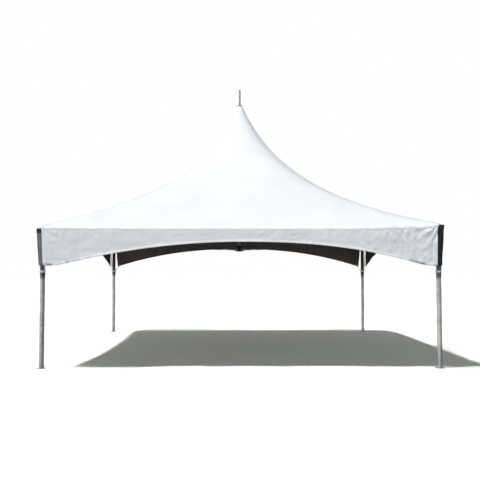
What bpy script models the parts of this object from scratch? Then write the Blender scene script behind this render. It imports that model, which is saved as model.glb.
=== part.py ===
"""High-peak marquee tent, six metres square between its legs.

Aluminium tubes on four round feet carry a ring of eave beams. A mast stands on two crossed
cables in the middle and lifts one white cloth roof to a point. Arched valances hang from the
roof edge on all four sides. Units are metres, +Z is up, and the origin is on the ground at
the centre of the tent. The front faces -Y.
"""
import math

import bmesh
import bpy
from mathutils import Matrix, Vector

GAP = 0.0003
CROWN_GAP = 0.0008

LEG_OFFSET = 3.0
LEG_RADIUS = 0.0381
LEG_WALL = 0.003
LEG_TOP = 2.060

FOOT_RADIUS = 0.075
FOOT_THICKNESS = 0.006
FOOT_SPIGOT_HEIGHT = 0.080
STAKE_HOLE_RADIUS = 0.008
STAKE_HOLE_OFFSET = 0.058

BEAM_RADIUS = 0.03015
BEAM_WALL = 0.00285
BEAM_AXIS_Z = 2.1132
COLLAR_END = 0.085
SPIGOT_END = 0.240

SLEEVE_RADIUS = 0.0445
SLEEVE_BOTTOM = 1.945
SLEEVE_TOP = 2.120
GUSSET_THICKNESS = 0.008
CORNER_PIN_REACH = 0.140
CORNER_PIN_Z = 2.030

EAVE_HALF = 3.070
EAVE_Z = 2.130
PEAK_RADIUS = 0.055
PEAK_Z = 4.725
ROOF_SAG = 0.125
ROOF_SQUARENESS = 0.75
EAVE_EXPONENT = 60.0
CLOTH_THICKNESS = 0.006
EDGE_DROP = 0.035
ROOF_RINGS = 12
PANEL_COLUMNS = 12

FRONT_DROP = 0.206
FRONT_ARCH = 0.0349
FRONT_POWER = 2.3
SIDE_DROP = 0.145
SIDE_ARCH = 0.0446
SIDE_POWER = 2.1
VALANCE_MAX_DROP = 0.595
VALANCE_SEGMENTS = 28

MAST_RADIUS = 0.0286
MAST_WALL = 0.003
MAST_BOTTOM = 1.852
MAST_TOP = 4.690
SPIKE_RADIUS = 0.0225
SPIKE_WALL = 0.003
SPIKE_TOP = 5.050
CAP_RADIUS = 0.062
CAP_THICKNESS = 0.010
MAST_FOOT_Z = 1.840
FOOT_PIN_REACH = 0.090
FOOT_PIN_Z = 1.869

CABLE_RADIUS = 0.005
FERRULE_RADIUS = 0.009
FERRULE_LENGTH = 0.070
FORK_LENGTH = 0.050
FORK_WIDTH = 0.026
FORK_SLOT = 0.032

STRAP_THICKNESS = 0.004
STRAP_START = 2.978
STRAP_WIDTH = 0.062
STRAP_BAND = 0.050
STRAP_BOTTOM = 1.550
STRAP_LEAN = 0.019

TIE_RADIUS = 0.0036
TIE_Z = 1.450
TIE_REACH = 0.0425
TIE_END_X = 2.905
TIE_END_Z = 1.585
TIE_BUTTON_RADIUS = 0.012

CORNERS = {
    "front_left": (-1, -1),
    "front_right": (1, -1),
    "rear_left": (-1, 1),
    "rear_right": (1, 1),
}


def clear_scene():
    """Remove whatever the start-up file holds."""
    for thing in list(bpy.data.objects):
        bpy.data.objects.remove(thing, do_unlink=True)
    for mesh in list(bpy.data.meshes):
        bpy.data.meshes.remove(mesh)


def make_material(name, colour, roughness, metallic):
    """One plain Principled material."""
    material = bpy.data.materials.new(name)
    material.use_nodes = True
    shader = material.node_tree.nodes["Principled BSDF"]
    shader.inputs["Base Color"].default_value = (*colour, 1.0)
    shader.inputs["Roughness"].default_value = roughness
    shader.inputs["Metallic"].default_value = metallic
    material.diffuse_color = (*colour, 1.0)
    return material


def add_object(name, bm, kind, smooth=False):
    """Turn a bmesh into a named object with its own material."""
    bmesh.ops.recalc_face_normals(bm, faces=bm.faces)
    mesh = bpy.data.meshes.new(name)
    bm.to_mesh(mesh)
    bm.free()
    mesh.materials.append(make_material(name, *FINISHES[kind]))
    if smooth:
        mesh.shade_smooth()
        mesh.set_sharp_from_angle(angle=math.radians(35.0))
    thing = bpy.data.objects.new(name, mesh)
    bpy.context.scene.collection.objects.link(thing)
    return thing


def lathe(profile, segments=24, centre=(0.0, 0.0)):
    """Turn a closed loop of (radius, z) points about a vertical axis."""
    bm = bmesh.new()
    start = [bm.verts.new((radius, 0.0, z)) for radius, z in profile]
    edges = [bm.edges.new((start[i], start[(i + 1) % len(start)])) for i in range(len(start))]
    if min(radius for radius, z in profile) < 1e-6:
        edges = [e for e in edges if max(abs(v.co.x) for v in e.verts) > 1e-6]
        loose = [e for e in bm.edges if e not in edges]
        bmesh.ops.delete(bm, geom=loose, context="EDGES_FACES")
    bmesh.ops.spin(bm, geom=start + edges, axis=(0, 0, 1), cent=(0, 0, 0),
                   angle=math.tau, steps=segments, use_merge=True)
    bmesh.ops.remove_doubles(bm, verts=bm.verts, dist=0.000001)
    bmesh.ops.translate(bm, verts=bm.verts, vec=(centre[0], centre[1], 0.0))
    return bm


def aim(start, end):
    """Matrix that carries the local z axis onto the line from start to end."""
    start = Vector(start)
    direction = Vector(end) - start
    side = Vector((0, 0, 1)).cross(direction)
    if side.length < 1e-6:
        return Matrix.Translation(start)
    side.normalize()
    forward = direction.normalized()
    up = forward.cross(side)
    turn = Matrix((side, up, forward)).transposed().to_4x4()
    return Matrix.Translation(start) @ turn


def cylinder(start, end, radius, segments=24):
    """Solid round bar between two points."""
    bm = bmesh.new()
    length = (Vector(end) - Vector(start)).length
    bmesh.ops.create_cone(bm, cap_ends=True, segments=segments, radius1=radius,
                          radius2=radius, depth=length)
    bmesh.ops.translate(bm, verts=bm.verts, vec=(0, 0, length / 2))
    bmesh.ops.transform(bm, matrix=aim(start, end), verts=bm.verts)
    return bm


def tube(start, end, radius, wall, segments=24):
    """Open-ended round tube between two points."""
    length = (Vector(end) - Vector(start)).length
    profile = [(radius - wall, 0.0), (radius, 0.0), (radius, length), (radius - wall, length)]
    bm = lathe(profile, segments)
    bmesh.ops.transform(bm, matrix=aim(start, end), verts=bm.verts)
    return bm


def box(low, high):
    """Solid box from its lowest to its highest corner."""
    bm = bmesh.new()
    bmesh.ops.create_cube(bm, size=1.0)
    size = Vector(high) - Vector(low)
    bmesh.ops.scale(bm, vec=size, verts=bm.verts)
    bmesh.ops.translate(bm, vec=Vector(low) + size / 2, verts=bm.verts)
    return bm


def prism(outline, thickness, matrix):
    """Plate of the given outline in local xz, centred on local y, then placed."""
    bm = bmesh.new()
    face = bm.faces.new([bm.verts.new((x, -thickness / 2, z)) for x, z in outline])
    grown = bmesh.ops.extrude_face_region(bm, geom=[face])
    moved = [v for v in grown["geom"] if isinstance(v, bmesh.types.BMVert)]
    bmesh.ops.translate(bm, vec=(0, thickness, 0), verts=moved)
    bmesh.ops.transform(bm, matrix=matrix, verts=bm.verts)
    return bm


def combine(base, others, operation):
    """Join or cut solids exactly and hand back one bmesh."""
    helpers = []
    for index, bm in enumerate([base, *others]):
        bmesh.ops.recalc_face_normals(bm, faces=bm.faces)
        mesh = bpy.data.meshes.new(f"helper_{index}")
        bm.to_mesh(mesh)
        bm.free()
        helper = bpy.data.objects.new(f"helper_{index}", mesh)
        bpy.context.scene.collection.objects.link(helper)
        helpers.append(helper)
    for helper in helpers[1:]:
        step = helpers[0].modifiers.new("join", "BOOLEAN")
        step.operation = operation
        step.solver = "EXACT"
        step.object = helper
    graph = bpy.context.evaluated_depsgraph_get()
    result = bmesh.new()
    result.from_object(helpers[0], graph)
    for helper in helpers:
        mesh = helper.data
        bpy.data.objects.remove(helper, do_unlink=True)
        bpy.data.meshes.remove(mesh)
    return result


def corner_axis(signs, reach, z):
    """Point on the diagonal of one corner, reach metres in from the leg towards the middle."""
    inward = LEG_OFFSET - reach / math.sqrt(2.0)
    return Vector((signs[0] * inward, signs[1] * inward, z))


def build_foot(name, signs):
    """Round base plate with two stake holes and a spigot that stands inside the leg."""
    x, y = signs[0] * LEG_OFFSET, signs[1] * LEG_OFFSET
    spigot = LEG_RADIUS - LEG_WALL - GAP
    top = FOOT_THICKNESS + FOOT_SPIGOT_HEIGHT
    profile = [
        (0.0, 0.0),
        (FOOT_RADIUS - 0.002, 0.0),
        (FOOT_RADIUS, 0.002),
        (FOOT_RADIUS, FOOT_THICKNESS),
        (spigot, FOOT_THICKNESS),
        (spigot, top - 0.006),
        (spigot - 0.006, top),
        (0.0, top),
    ]
    plate = lathe(profile, 24, (x, y))
    step = STAKE_HOLE_OFFSET / math.sqrt(2.0)
    holes = []
    for turn in (-1, 1):
        place = (x + turn * signs[0] * step, y - turn * signs[1] * step)
        holes.append(cylinder((*place, -0.01), (*place, 0.03), STAKE_HOLE_RADIUS, 12))
    add_object(f"base_plate_{name}", combine(plate, holes, "DIFFERENCE"), "steel", True)


def build_leg(name, signs):
    """Upright tube that stands on its base plate and ends inside the corner fitting."""
    x, y = signs[0] * LEG_OFFSET, signs[1] * LEG_OFFSET
    bm = tube((x, y, FOOT_THICKNESS + GAP), (x, y, LEG_TOP), LEG_RADIUS, LEG_WALL, 24)
    add_object(f"leg_{name}", bm, "aluminium", True)


def build_fitting(name, signs):
    """Corner casting: cup over the leg, a spigot into each beam, and an eye for the cable."""
    x, y = signs[0] * LEG_OFFSET, signs[1] * LEG_OFFSET
    body = cylinder((x, y, SLEEVE_BOTTOM), (x, y, SLEEVE_TOP), SLEEVE_RADIUS, 24)
    spigot_radius = BEAM_RADIUS - BEAM_WALL - GAP
    parts = []
    for direction in (Vector((-signs[0], 0, 0)), Vector((0, -signs[1], 0))):
        centre = Vector((x, y, BEAM_AXIS_Z))
        parts.append(cylinder(centre, centre + direction * COLLAR_END, BEAM_RADIUS, 20))
        parts.append(cylinder(centre, centre + direction * SPIGOT_END, spigot_radius, 20))
    inward = Vector((-signs[0], -signs[1], 0)).normalized()
    turn = Matrix.Rotation(math.atan2(inward.y, inward.x), 4, "Z")
    outline = [
        (0.041, 1.960),
        (0.060, 1.960),
        (CORNER_PIN_REACH + 0.016, CORNER_PIN_Z - 0.016),
        (CORNER_PIN_REACH + 0.016, CORNER_PIN_Z + 0.016),
        (0.120, 2.075),
        (0.041, 2.075),
    ]
    parts.append(prism(outline, GUSSET_THICKNESS, Matrix.Translation((x, y, 0)) @ turn))
    body = combine(body, parts, "UNION")
    side = Vector((-inward.y, inward.x, 0)) * 0.05
    pin = corner_axis(signs, CORNER_PIN_REACH, CORNER_PIN_Z)
    bore = cylinder((x, y, SLEEVE_BOTTOM - 0.05), (x, y, LEG_TOP + GAP), LEG_RADIUS + GAP, 24)
    cuts = [bore, cylinder(pin - side, pin + side, 0.0065, 10)]
    add_object(f"corner_fitting_{name}", combine(body, cuts, "DIFFERENCE"), "casting", True)


def build_beam(name, start, end):
    """Eave tube that slips over the spigots of two corner fittings."""
    add_object(f"eave_beam_{name}", tube(start, end, BEAM_RADIUS, BEAM_WALL, 20), "aluminium", True)


def build_cable(name, signs):
    """Taut cable from a corner eye to the mast foot with a fork and a sleeve at each end."""
    high = corner_axis(signs, CORNER_PIN_REACH, CORNER_PIN_Z)
    outward = Vector((signs[0], signs[1], 0)).normalized()
    low = outward * FOOT_PIN_REACH + Vector((0, 0, FOOT_PIN_Z))
    along = (high - low).normalized()
    body = cylinder(low + along * 0.03, high - along * 0.03, CABLE_RADIUS, 10)
    parts = []
    for pin, way in ((low, along), (high, -along)):
        neck = pin + way * (FORK_LENGTH - 0.016)
        parts.append(cylinder(neck - way * 0.004, neck + way * FERRULE_LENGTH, FERRULE_RADIUS, 12))
        half = FORK_WIDTH / 2
        fork = box((-half, -half, -0.016), (half, half, FORK_LENGTH - 0.016))
        bmesh.ops.transform(fork, matrix=aim(pin, pin + way), verts=fork.verts)
        parts.append(fork)
    body = combine(body, parts, "UNION")
    slots = []
    for pin, way in ((low, along), (high, -along)):
        half = GUSSET_THICKNESS / 2 + GAP
        slot = box((-half, -0.03, -0.03), (half, 0.03, FORK_SLOT - 0.013))
        bmesh.ops.transform(slot, matrix=aim(pin, pin + way), verts=slot.verts)
        slots.append(slot)
    add_object(f"cable_{name}", combine(body, slots, "DIFFERENCE"), "cable", True)


def build_mast():
    """Mast tube with its cup-shaped foot, crown, spike and rain cap."""
    mast = tube((0, 0, MAST_BOTTOM + GAP), (0, 0, MAST_TOP), MAST_RADIUS, MAST_WALL, 24)
    add_object("mast_tube", mast, "aluminium", True)

    cup = MAST_RADIUS + GAP
    profile = [
        (0.0, MAST_FOOT_Z),
        (0.062, MAST_FOOT_Z),
        (0.062, MAST_FOOT_Z + 0.008),
        (0.038, MAST_FOOT_Z + 0.008),
        (0.038, MAST_FOOT_Z + 0.110),
        (cup, MAST_FOOT_Z + 0.110),
        (cup, MAST_BOTTOM),
        (0.0, MAST_BOTTOM),
    ]
    body = lathe(profile, 24)
    lugs = []
    holes = []
    for signs in CORNERS.values():
        angle = math.atan2(signs[1], signs[0])
        turn = Matrix.Rotation(angle, 4, "Z")
        top = FOOT_PIN_Z + 0.016
        outline = [
            (0.033, MAST_FOOT_Z + 0.004),
            (FOOT_PIN_REACH + 0.006, MAST_FOOT_Z + 0.004),
            (FOOT_PIN_REACH + 0.016, FOOT_PIN_Z - 0.010),
            (FOOT_PIN_REACH + 0.016, FOOT_PIN_Z + 0.010),
            (FOOT_PIN_REACH + 0.006, top),
            (0.060, top),
            (0.033, top + 0.030),
        ]
        lugs.append(prism(outline, GUSSET_THICKNESS, turn))
        pin = turn @ Vector((FOOT_PIN_REACH, 0, FOOT_PIN_Z))
        side = turn @ Vector((0, 0.03, 0))
        holes.append(cylinder(pin - side, pin + side, 0.0065, 10))
    body = combine(combine(body, lugs, "UNION"), holes, "DIFFERENCE")
    add_object("mast_foot", body, "casting", True)

    plug = MAST_RADIUS - MAST_WALL - GAP
    bore = SPIKE_RADIUS - SPIKE_WALL
    profile = [
        (bore, MAST_TOP - 0.140),
        (plug, MAST_TOP - 0.140),
        (plug, MAST_TOP + GAP),
        (MAST_RADIUS, MAST_TOP + GAP),
        (MAST_RADIUS, MAST_TOP + 0.010),
        (SPIKE_RADIUS, MAST_TOP + 0.010),
        (SPIKE_RADIUS, SPIKE_TOP - 0.008),
        (SPIKE_RADIUS - 0.008, SPIKE_TOP),
        (0.0, SPIKE_TOP),
        (0.0, SPIKE_TOP - 0.012),
        (bore, SPIKE_TOP - 0.012),
    ]
    add_object("mast_spike", lathe(profile, 24), "aluminium", True)

    low_rho = 0.018
    top_radius, top_z = roof_profile(0.0, CLOTH_THICKNESS + CROWN_GAP)
    low_radius, low_z = roof_profile(low_rho, CLOTH_THICKNESS + CROWN_GAP)
    profile = [
        (cup, low_z - 0.012),
        (low_radius, low_z - 0.012),
        (low_radius, low_z),
        (top_radius, top_z),
        (cup, top_z),
    ]
    add_object("mast_crown", lathe(profile, 24), "casting", True)

    hole = SPIKE_RADIUS + GAP
    low = PEAK_Z + GAP
    profile = [
        (hole, low),
        (CAP_RADIUS, low),
        (CAP_RADIUS - 0.004, low + CAP_THICKNESS * 0.6),
        (hole + 0.006, low + CAP_THICKNESS),
        (hole + 0.004, low + 0.030),
        (hole, low + 0.030),
    ]
    add_object("peak_cap", lathe(profile, 24), "casting", True)


def roof_height(rho):
    """Height of the outer roof surface, from the peak at 0 to the eave at 1."""
    share = math.log((1 + ROOF_SAG) / (rho + ROOF_SAG)) / math.log((1 + ROOF_SAG) / ROOF_SAG)
    return EAVE_Z + (PEAK_Z - EAVE_Z) * share


def hip_reach(rho):
    """Distance of a roof hip from the tent's middle, measured level along the diagonal."""
    return PEAK_RADIUS + (EAVE_HALF * math.sqrt(2.0) - PEAK_RADIUS) * rho


def roof_point(rho, theta):
    """Outer roof surface: round contours at the peak that turn square at the eave."""
    roundness = 1.0 - rho ** ROOF_SQUARENESS
    across = abs(math.cos(theta))
    along = abs(math.sin(theta))
    if roundness * EAVE_EXPONENT > 2.0:
        power = 2.0 / roundness
        reach = (across ** power + along ** power) ** (-1.0 / power)
        corner = math.sqrt(2.0) * 2.0 ** (-1.0 / power)
    else:
        reach = 1.0 / max(across, along)
        corner = math.sqrt(2.0)
    reach *= hip_reach(rho) / corner
    return Vector((reach * math.cos(theta), reach * math.sin(theta), roof_height(rho)))


def roof_normal(rho, theta):
    """Outward direction at right angles to the roof surface."""
    step = 0.002
    down = roof_point(rho + step, theta) - roof_point(max(rho - step, 0.0), theta)
    round_about = roof_point(rho, theta + step) - roof_point(rho, theta - step)
    return down.cross(round_about).normalized()


def roof_profile(rho, depth):
    """Radius and height of the peak at mid-panel, moved in by depth square to the cloth."""
    inner = roof_point(rho, 0.0) - roof_normal(rho, 0.0) * depth
    return math.hypot(inner.x, inner.y), inner.z


def panel_layers(theta):
    """Outer and inner points down one column of the roof, from the peak to its lower edge."""
    growth = (1 + ROOF_SAG) / ROOF_SAG
    outer = []
    inner = []
    for ring in range(ROOF_RINGS):
        rho = ROOF_SAG * (growth ** (ring / ROOF_RINGS) - 1)
        point = roof_point(rho, theta)
        outer.append(point)
        inner.append(point - roof_normal(rho, theta) * CLOTH_THICKNESS)
    shrink = (EAVE_HALF - CLOTH_THICKNESS) / EAVE_HALF
    eave = roof_point(1.0, theta)
    low = EAVE_Z - EDGE_DROP
    outer += [eave, Vector((eave.x, eave.y, low))]
    crease = EAVE_Z - CLOTH_THICKNESS * 0.7
    inner += [Vector((eave.x * shrink, eave.y * shrink, z)) for z in (crease, low)]
    return outer, inner


def build_roof_panel(name, turn):
    """One of four roof panels between two hips, turned down over its beam at the eave."""
    bm = bmesh.new()
    outer_grid = []
    inner_grid = []
    for column in range(PANEL_COLUMNS + 1):
        theta = -0.75 * math.pi + 0.5 * math.pi * column / PANEL_COLUMNS
        layers = panel_layers(theta)
        side = Vector((0, 0, 0))
        if column == 0:
            side = Vector((1, -1, 0)).normalized() * GAP / 2
        elif column == PANEL_COLUMNS:
            side = Vector((-1, -1, 0)).normalized() * GAP / 2
        outer_grid.append([bm.verts.new(point + side) for point in layers[0]])
        inner_grid.append([bm.verts.new(point + side) for point in layers[1]])
    rows = len(outer_grid[0])
    for grid in (outer_grid, inner_grid):
        for one, two in zip(grid, grid[1:]):
            for row in range(rows - 1):
                bm.faces.new((one[row], one[row + 1], two[row + 1], two[row]))
    for end in (0, -1):
        for row in range(rows - 1):
            bm.faces.new((outer_grid[end][row], outer_grid[end][row + 1],
                          inner_grid[end][row + 1], inner_grid[end][row]))
    for column in range(PANEL_COLUMNS):
        for row in (0, -1):
            bm.faces.new((outer_grid[column][row], outer_grid[column + 1][row],
                          inner_grid[column + 1][row], inner_grid[column][row]))
    bmesh.ops.rotate(bm, cent=(0, 0, 0), matrix=Matrix.Rotation(turn, 3, "Z"), verts=bm.verts)
    add_object(f"roof_panel_{name}", bm, "cloth", True)


def valance_drop(across, curve):
    """Depth of a valance below the eave line at a distance from its middle."""
    least, arch, power = curve
    drop = least + arch * abs(across) ** power
    return min(drop, VALANCE_MAX_DROP)


def build_valance(name, turn, top_half, low_half, curve):
    """Hanging cloth strip whose lower edge is arched, made on the front and turned."""
    bm = bmesh.new()
    top_z = EAVE_Z - EDGE_DROP - GAP
    loops = []
    for y in (-EAVE_HALF, -EAVE_HALF + CLOTH_THICKNESS):
        top = []
        low = []
        for step in range(VALANCE_SEGMENTS + 1):
            share = 2.0 * step / VALANCE_SEGMENTS - 1.0
            top.append(bm.verts.new((share * top_half, y, top_z)))
            x = share * low_half
            low.append(bm.verts.new((x, y, EAVE_Z - valance_drop(x, curve))))
        loops.append((top, low))
    (front_top, front_low), (back_top, back_low) = loops
    strips = ((front_top, front_low), (front_low, back_low), (back_low, back_top),
              (back_top, front_top))
    for one, two in strips:
        for step in range(VALANCE_SEGMENTS):
            bm.faces.new((one[step], two[step], two[step + 1], one[step + 1]))
    for end in (0, -1):
        bm.faces.new((front_top[end], front_low[end], back_low[end], back_top[end]))
    bmesh.ops.rotate(bm, cent=(0, 0, 0), matrix=Matrix.Rotation(turn, 3, "Z"), verts=bm.verts)
    add_object(f"valance_{name}", bm, "cloth", True)


def strap_tail(low, high, lean):
    """Broad webbing between two corners whose lower end leans in towards the leg."""
    bm = box(low, high)
    bottom = [v for v in bm.verts if v.co.z < low[2] + GAP]
    bmesh.ops.translate(bm, vec=lean, verts=bottom)
    return bm


def build_strap(name, signs):
    """Webbing that hangs from the roof corner: a band round the corner and two broad tails."""
    outer = EAVE_HALF - 0.001
    inner = outer - STRAP_THICKNESS
    top = EAVE_Z - EDGE_DROP - GAP
    near = STRAP_START
    far = STRAP_START + STRAP_WIDTH
    skin = 0.0005
    start = top - STRAP_BAND + 0.012
    pieces = [
        box((near, inner, top - STRAP_BAND), (outer, outer, top)),
        box((inner, near, top - STRAP_BAND), (outer, outer, top)),
        strap_tail((near + skin, inner + skin, STRAP_BOTTOM), (far, outer - skin, start),
                   (-STRAP_LEAN / 2, -STRAP_LEAN, 0)),
        strap_tail((inner + skin, near + skin, STRAP_BOTTOM), (outer - skin, far, start),
                   (-STRAP_LEAN, -STRAP_LEAN / 2, 0)),
    ]
    bm = combine(pieces[0], pieces[1:], "UNION")
    bmesh.ops.scale(bm, vec=(signs[0], signs[1], 1), verts=bm.verts)
    add_object(f"corner_strap_{name}", bm, "webbing")


def build_tie(name, signs):
    """Cord wound three times round the leg, with an end to the corner of each valance."""
    bore = LEG_RADIUS + GAP
    round_turn = TIE_RADIUS * 2.0
    profile = [(bore, TIE_Z - round_turn * 1.5)]
    for turn in (-1, 0, 1):
        z = TIE_Z + turn * round_turn
        profile.append((bore + TIE_RADIUS * 1.5, z - TIE_RADIUS * 0.75))
        profile.append((bore + TIE_RADIUS * 1.9, z))
        profile.append((bore + TIE_RADIUS * 1.5, z + TIE_RADIUS * 0.75))
    profile.append((bore, TIE_Z + round_turn * 1.5))
    pieces = [lathe(profile, 24, (LEG_OFFSET, LEG_OFFSET))]
    slant = TIE_REACH / math.sqrt(2.0)
    inside = EAVE_HALF - CLOTH_THICKNESS - GAP
    for swap_axes in (False, True):
        ends = [
            (LEG_OFFSET - slant, LEG_OFFSET + slant, TIE_Z),
            (TIE_END_X, inside - 0.0040, TIE_END_Z),
            (TIE_END_X, inside - 0.0060, TIE_END_Z),
            (TIE_END_X, inside, TIE_END_Z),
        ]
        if swap_axes:
            ends = [(y, x, z) for x, y, z in ends]
        pieces.append(cylinder(ends[0], ends[1], TIE_RADIUS, 10))
        pieces.append(cylinder(ends[2], ends[3], TIE_BUTTON_RADIUS, 16))
    bm = combine(pieces[0], pieces[1:], "UNION")
    bmesh.ops.scale(bm, vec=(signs[0], signs[1], 1), verts=bm.verts)
    add_object(f"valance_tie_{name}", bm, "cord", True)


FRONT_CURVE = (FRONT_DROP, FRONT_ARCH, FRONT_POWER)
SIDE_CURVE = (SIDE_DROP, SIDE_ARCH, SIDE_POWER)
VALANCES = (
    ("front", 0.0, 2.966, FRONT_CURVE),
    ("right", math.pi / 2, 2.935, SIDE_CURVE),
    ("rear", math.pi, 2.920, SIDE_CURVE),
    ("left", -math.pi / 2, 2.935, SIDE_CURVE),
)

FINISHES = {
    "aluminium": ((0.60, 0.61, 0.63), 0.42, 0.9),
    "casting": ((0.52, 0.53, 0.55), 0.50, 0.9),
    "steel": ((0.45, 0.45, 0.46), 0.45, 0.9),
    "cable": ((0.40, 0.41, 0.43), 0.40, 0.9),
    "cloth": ((0.86, 0.87, 0.88), 0.45, 0.0),
    "webbing": ((0.02, 0.02, 0.022), 0.75, 0.0),
    "cord": ((0.62, 0.57, 0.50), 0.80, 0.0),
}


def main():
    clear_scene()
    for name, signs in CORNERS.items():
        build_foot(name, signs)
        build_leg(name, signs)
        build_fitting(name, signs)
        build_cable(name, signs)
        build_strap(name, signs)
        build_tie(name, signs)
    reach = LEG_OFFSET - COLLAR_END - GAP
    z = BEAM_AXIS_Z
    build_beam("front", (-reach, -LEG_OFFSET, z), (reach, -LEG_OFFSET, z))
    build_beam("rear", (-reach, LEG_OFFSET, z), (reach, LEG_OFFSET, z))
    build_beam("left", (-LEG_OFFSET, -reach, z), (-LEG_OFFSET, reach, z))
    build_beam("right", (LEG_OFFSET, -reach, z), (LEG_OFFSET, reach, z))
    build_mast()
    for name, turn, low_half, curve in VALANCES:
        build_roof_panel(name, turn)
        build_valance(name, turn, 2.972, low_half, curve)


main()
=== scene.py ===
"""Dresses the solids of a high-peak marquee tent: cloth, webbing, cord and metal finishes.

The roof is one white coated cloth stretched from a round peak to a square eave. Four arched
valances hang from it. Everything is in metres, +Z is up, and the front faces -Y.
"""
import math

import bmesh
import bpy
from bpy.props import FloatProperty, FloatVectorProperty, IntProperty, PointerProperty
from mathutils import Matrix, Vector, noise


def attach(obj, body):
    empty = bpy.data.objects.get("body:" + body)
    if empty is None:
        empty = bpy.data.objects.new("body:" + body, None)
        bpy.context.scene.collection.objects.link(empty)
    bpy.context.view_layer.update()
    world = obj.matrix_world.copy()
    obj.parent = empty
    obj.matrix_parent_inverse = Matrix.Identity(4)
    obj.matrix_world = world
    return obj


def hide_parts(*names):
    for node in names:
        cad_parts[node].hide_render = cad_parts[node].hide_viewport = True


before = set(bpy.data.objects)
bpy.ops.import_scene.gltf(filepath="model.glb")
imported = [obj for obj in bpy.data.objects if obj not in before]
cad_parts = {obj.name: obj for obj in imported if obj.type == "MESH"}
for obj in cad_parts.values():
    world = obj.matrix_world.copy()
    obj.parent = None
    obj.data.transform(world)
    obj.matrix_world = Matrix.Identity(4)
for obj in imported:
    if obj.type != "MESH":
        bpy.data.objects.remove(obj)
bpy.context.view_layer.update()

bl_info = {
    "name": "High-peak marquee tent",
    "version": (1, 0, 0),
    "blender": (4, 5, 0),
    "location": "3D View > Sidebar > Marquee",
    "description": "Cloth, webbing, cord and metal finishes for a high-peak marquee tent",
    "category": "Object",
}

CORNERS = {
    "front_left": (-1, -1),
    "front_right": (1, -1),
    "rear_left": (-1, 1),
    "rear_right": (1, 1),
}
SIDES = {"front": 0.0, "right": math.pi / 2, "rear": math.pi, "left": -math.pi / 2}
LOW_HALVES = {"front": 2.966, "right": 2.935, "rear": 2.920, "left": 2.935}
VALANCE_COLUMNS, VALANCE_ROWS = 520, 36
LEG_OFFSET = 3.0  # from the middle to a leg's axis, along x and y
CORD_SEAT = 0.0384  # radius of a leg under the wound cord
EYE_PIN = (4.2426 - 0.140, 2.030)  # distance from the mast's axis and height of a corner pin
FOOT_PIN = (0.090, 1.869)  # the same of a pin at the mast foot
STRAND_ENDS = (0.24, 3.95)  # the outer strands show between these distances from the axis
BEAM_UNDERSIDE = 2.1132 - 0.0301
CORNER_ENDS = {
    "front_left": (("front", -1), ("left", 1)),
    "front_right": (("front", 1), ("right", -1)),
    "rear_left": (("rear", 1), ("left", -1)),
    "rear_right": (("rear", -1), ("right", 1)),
}


def linear(code):
    """sRGB hex colour to the linear values that shaders take."""
    out = []
    for start in (1, 3, 5):
        part = int(code[start:start + 2], 16) / 255.0
        out.append(part / 12.92 if part <= 0.04045 else ((part + 0.055) / 1.055) ** 2.4)
    return tuple(out)


def colour(name, about, code):
    """A colour setting that the panel shows as a swatch."""
    return FloatVectorProperty(name=name, description=about, default=linear(code),
                               subtype="COLOR", min=0.0, max=1.0)


def length(name, about, default):
    """A size setting in metres."""
    return FloatProperty(name=name, description=about, default=default, unit="LENGTH")


def amount(name, about, default):
    """A setting that is a plain number."""
    return FloatProperty(name=name, description=about, default=default)


class MarqueeRoof(bpy.types.PropertyGroup):
    """Sizes and colours of the stretched roof cloth."""

    eave_half: length("Eave half span", "From the middle to the outside of the eave", 3.070)
    eave_height: length("Eave height", "Height of the eave fold", 2.130)
    edge_drop: length("Edge drop", "How far the roof cloth turns down over the beam", 0.040)
    fold_radius: length("Fold width", "Width of the rounded fold at the eave", 0.026)
    peak_radius: length("Peak radius", "Radius of the opening round the mast", 0.055)
    peak_height: length("Peak height", "Height of the cloth at the mast", 4.725)
    sag: FloatProperty(name="Sag", description="Lower is more hollow under the peak",
                       default=0.125, min=0.02, max=2.0)
    squareness: FloatProperty(name="Squareness", description="How soon the contours turn square",
                              default=0.75, min=0.1, max=3.0)
    thickness: length("Cloth thickness", "Thickness of the coated cloth", 0.0016)
    eave_sag: length("Eave sag", "How far the eave line dips at mid-span", 0.014)
    corner_lift: length("Corner lift", "How far the front right corner is pulled up", 0.034)
    rings: IntProperty(name="Rings", description="Mesh rows from the peak to the eave",
                       default=84, min=16, max=90)
    outside: colour("Outside", "Colour of the coated outer face", "#EFF3F7")
    # Painted shade: the dark brown inside stands for the shade under the roof, not the cloth's own
    # colour.
    inside: colour("Inside", "Colour of the light-proof backing", "#685D52")


class MarqueeValance(bpy.types.PropertyGroup):
    """Sizes of the arched valances."""

    front_drop: length("Front drop", "Depth of the front valance at mid-span", 0.230)
    front_arch: amount("Front arch", "How fast the front valance deepens to the right", 0.0313)
    front_power: amount("Front power", "Shape of the right half of the front arch", 2.38)
    full_arch: amount("Front arch, left", "How fast the front valance deepens to the left", 0.0485)
    full_power: amount("Front power, left", "Shape of the left half of the front arch", 1.96)
    side_drop: length("Side drop", "Depth of the other valances at mid-span", 0.148)
    side_arch: amount("Side arch", "How fast the other valances deepen", 0.0380)
    side_power: amount("Side power", "Shape of the other arches", 2.25)
    most_drop: length("Most drop", "Depth of the valances at their ends", 0.590)
    top_half: length("Top half width", "From the middle to the end of the top edge", 2.972)
    hem: length("Hem", "Width of the sewn hem", 0.030)
    pucker: length("Pucker", "Largest depth of the folds near the corners", 0.0060)


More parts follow.
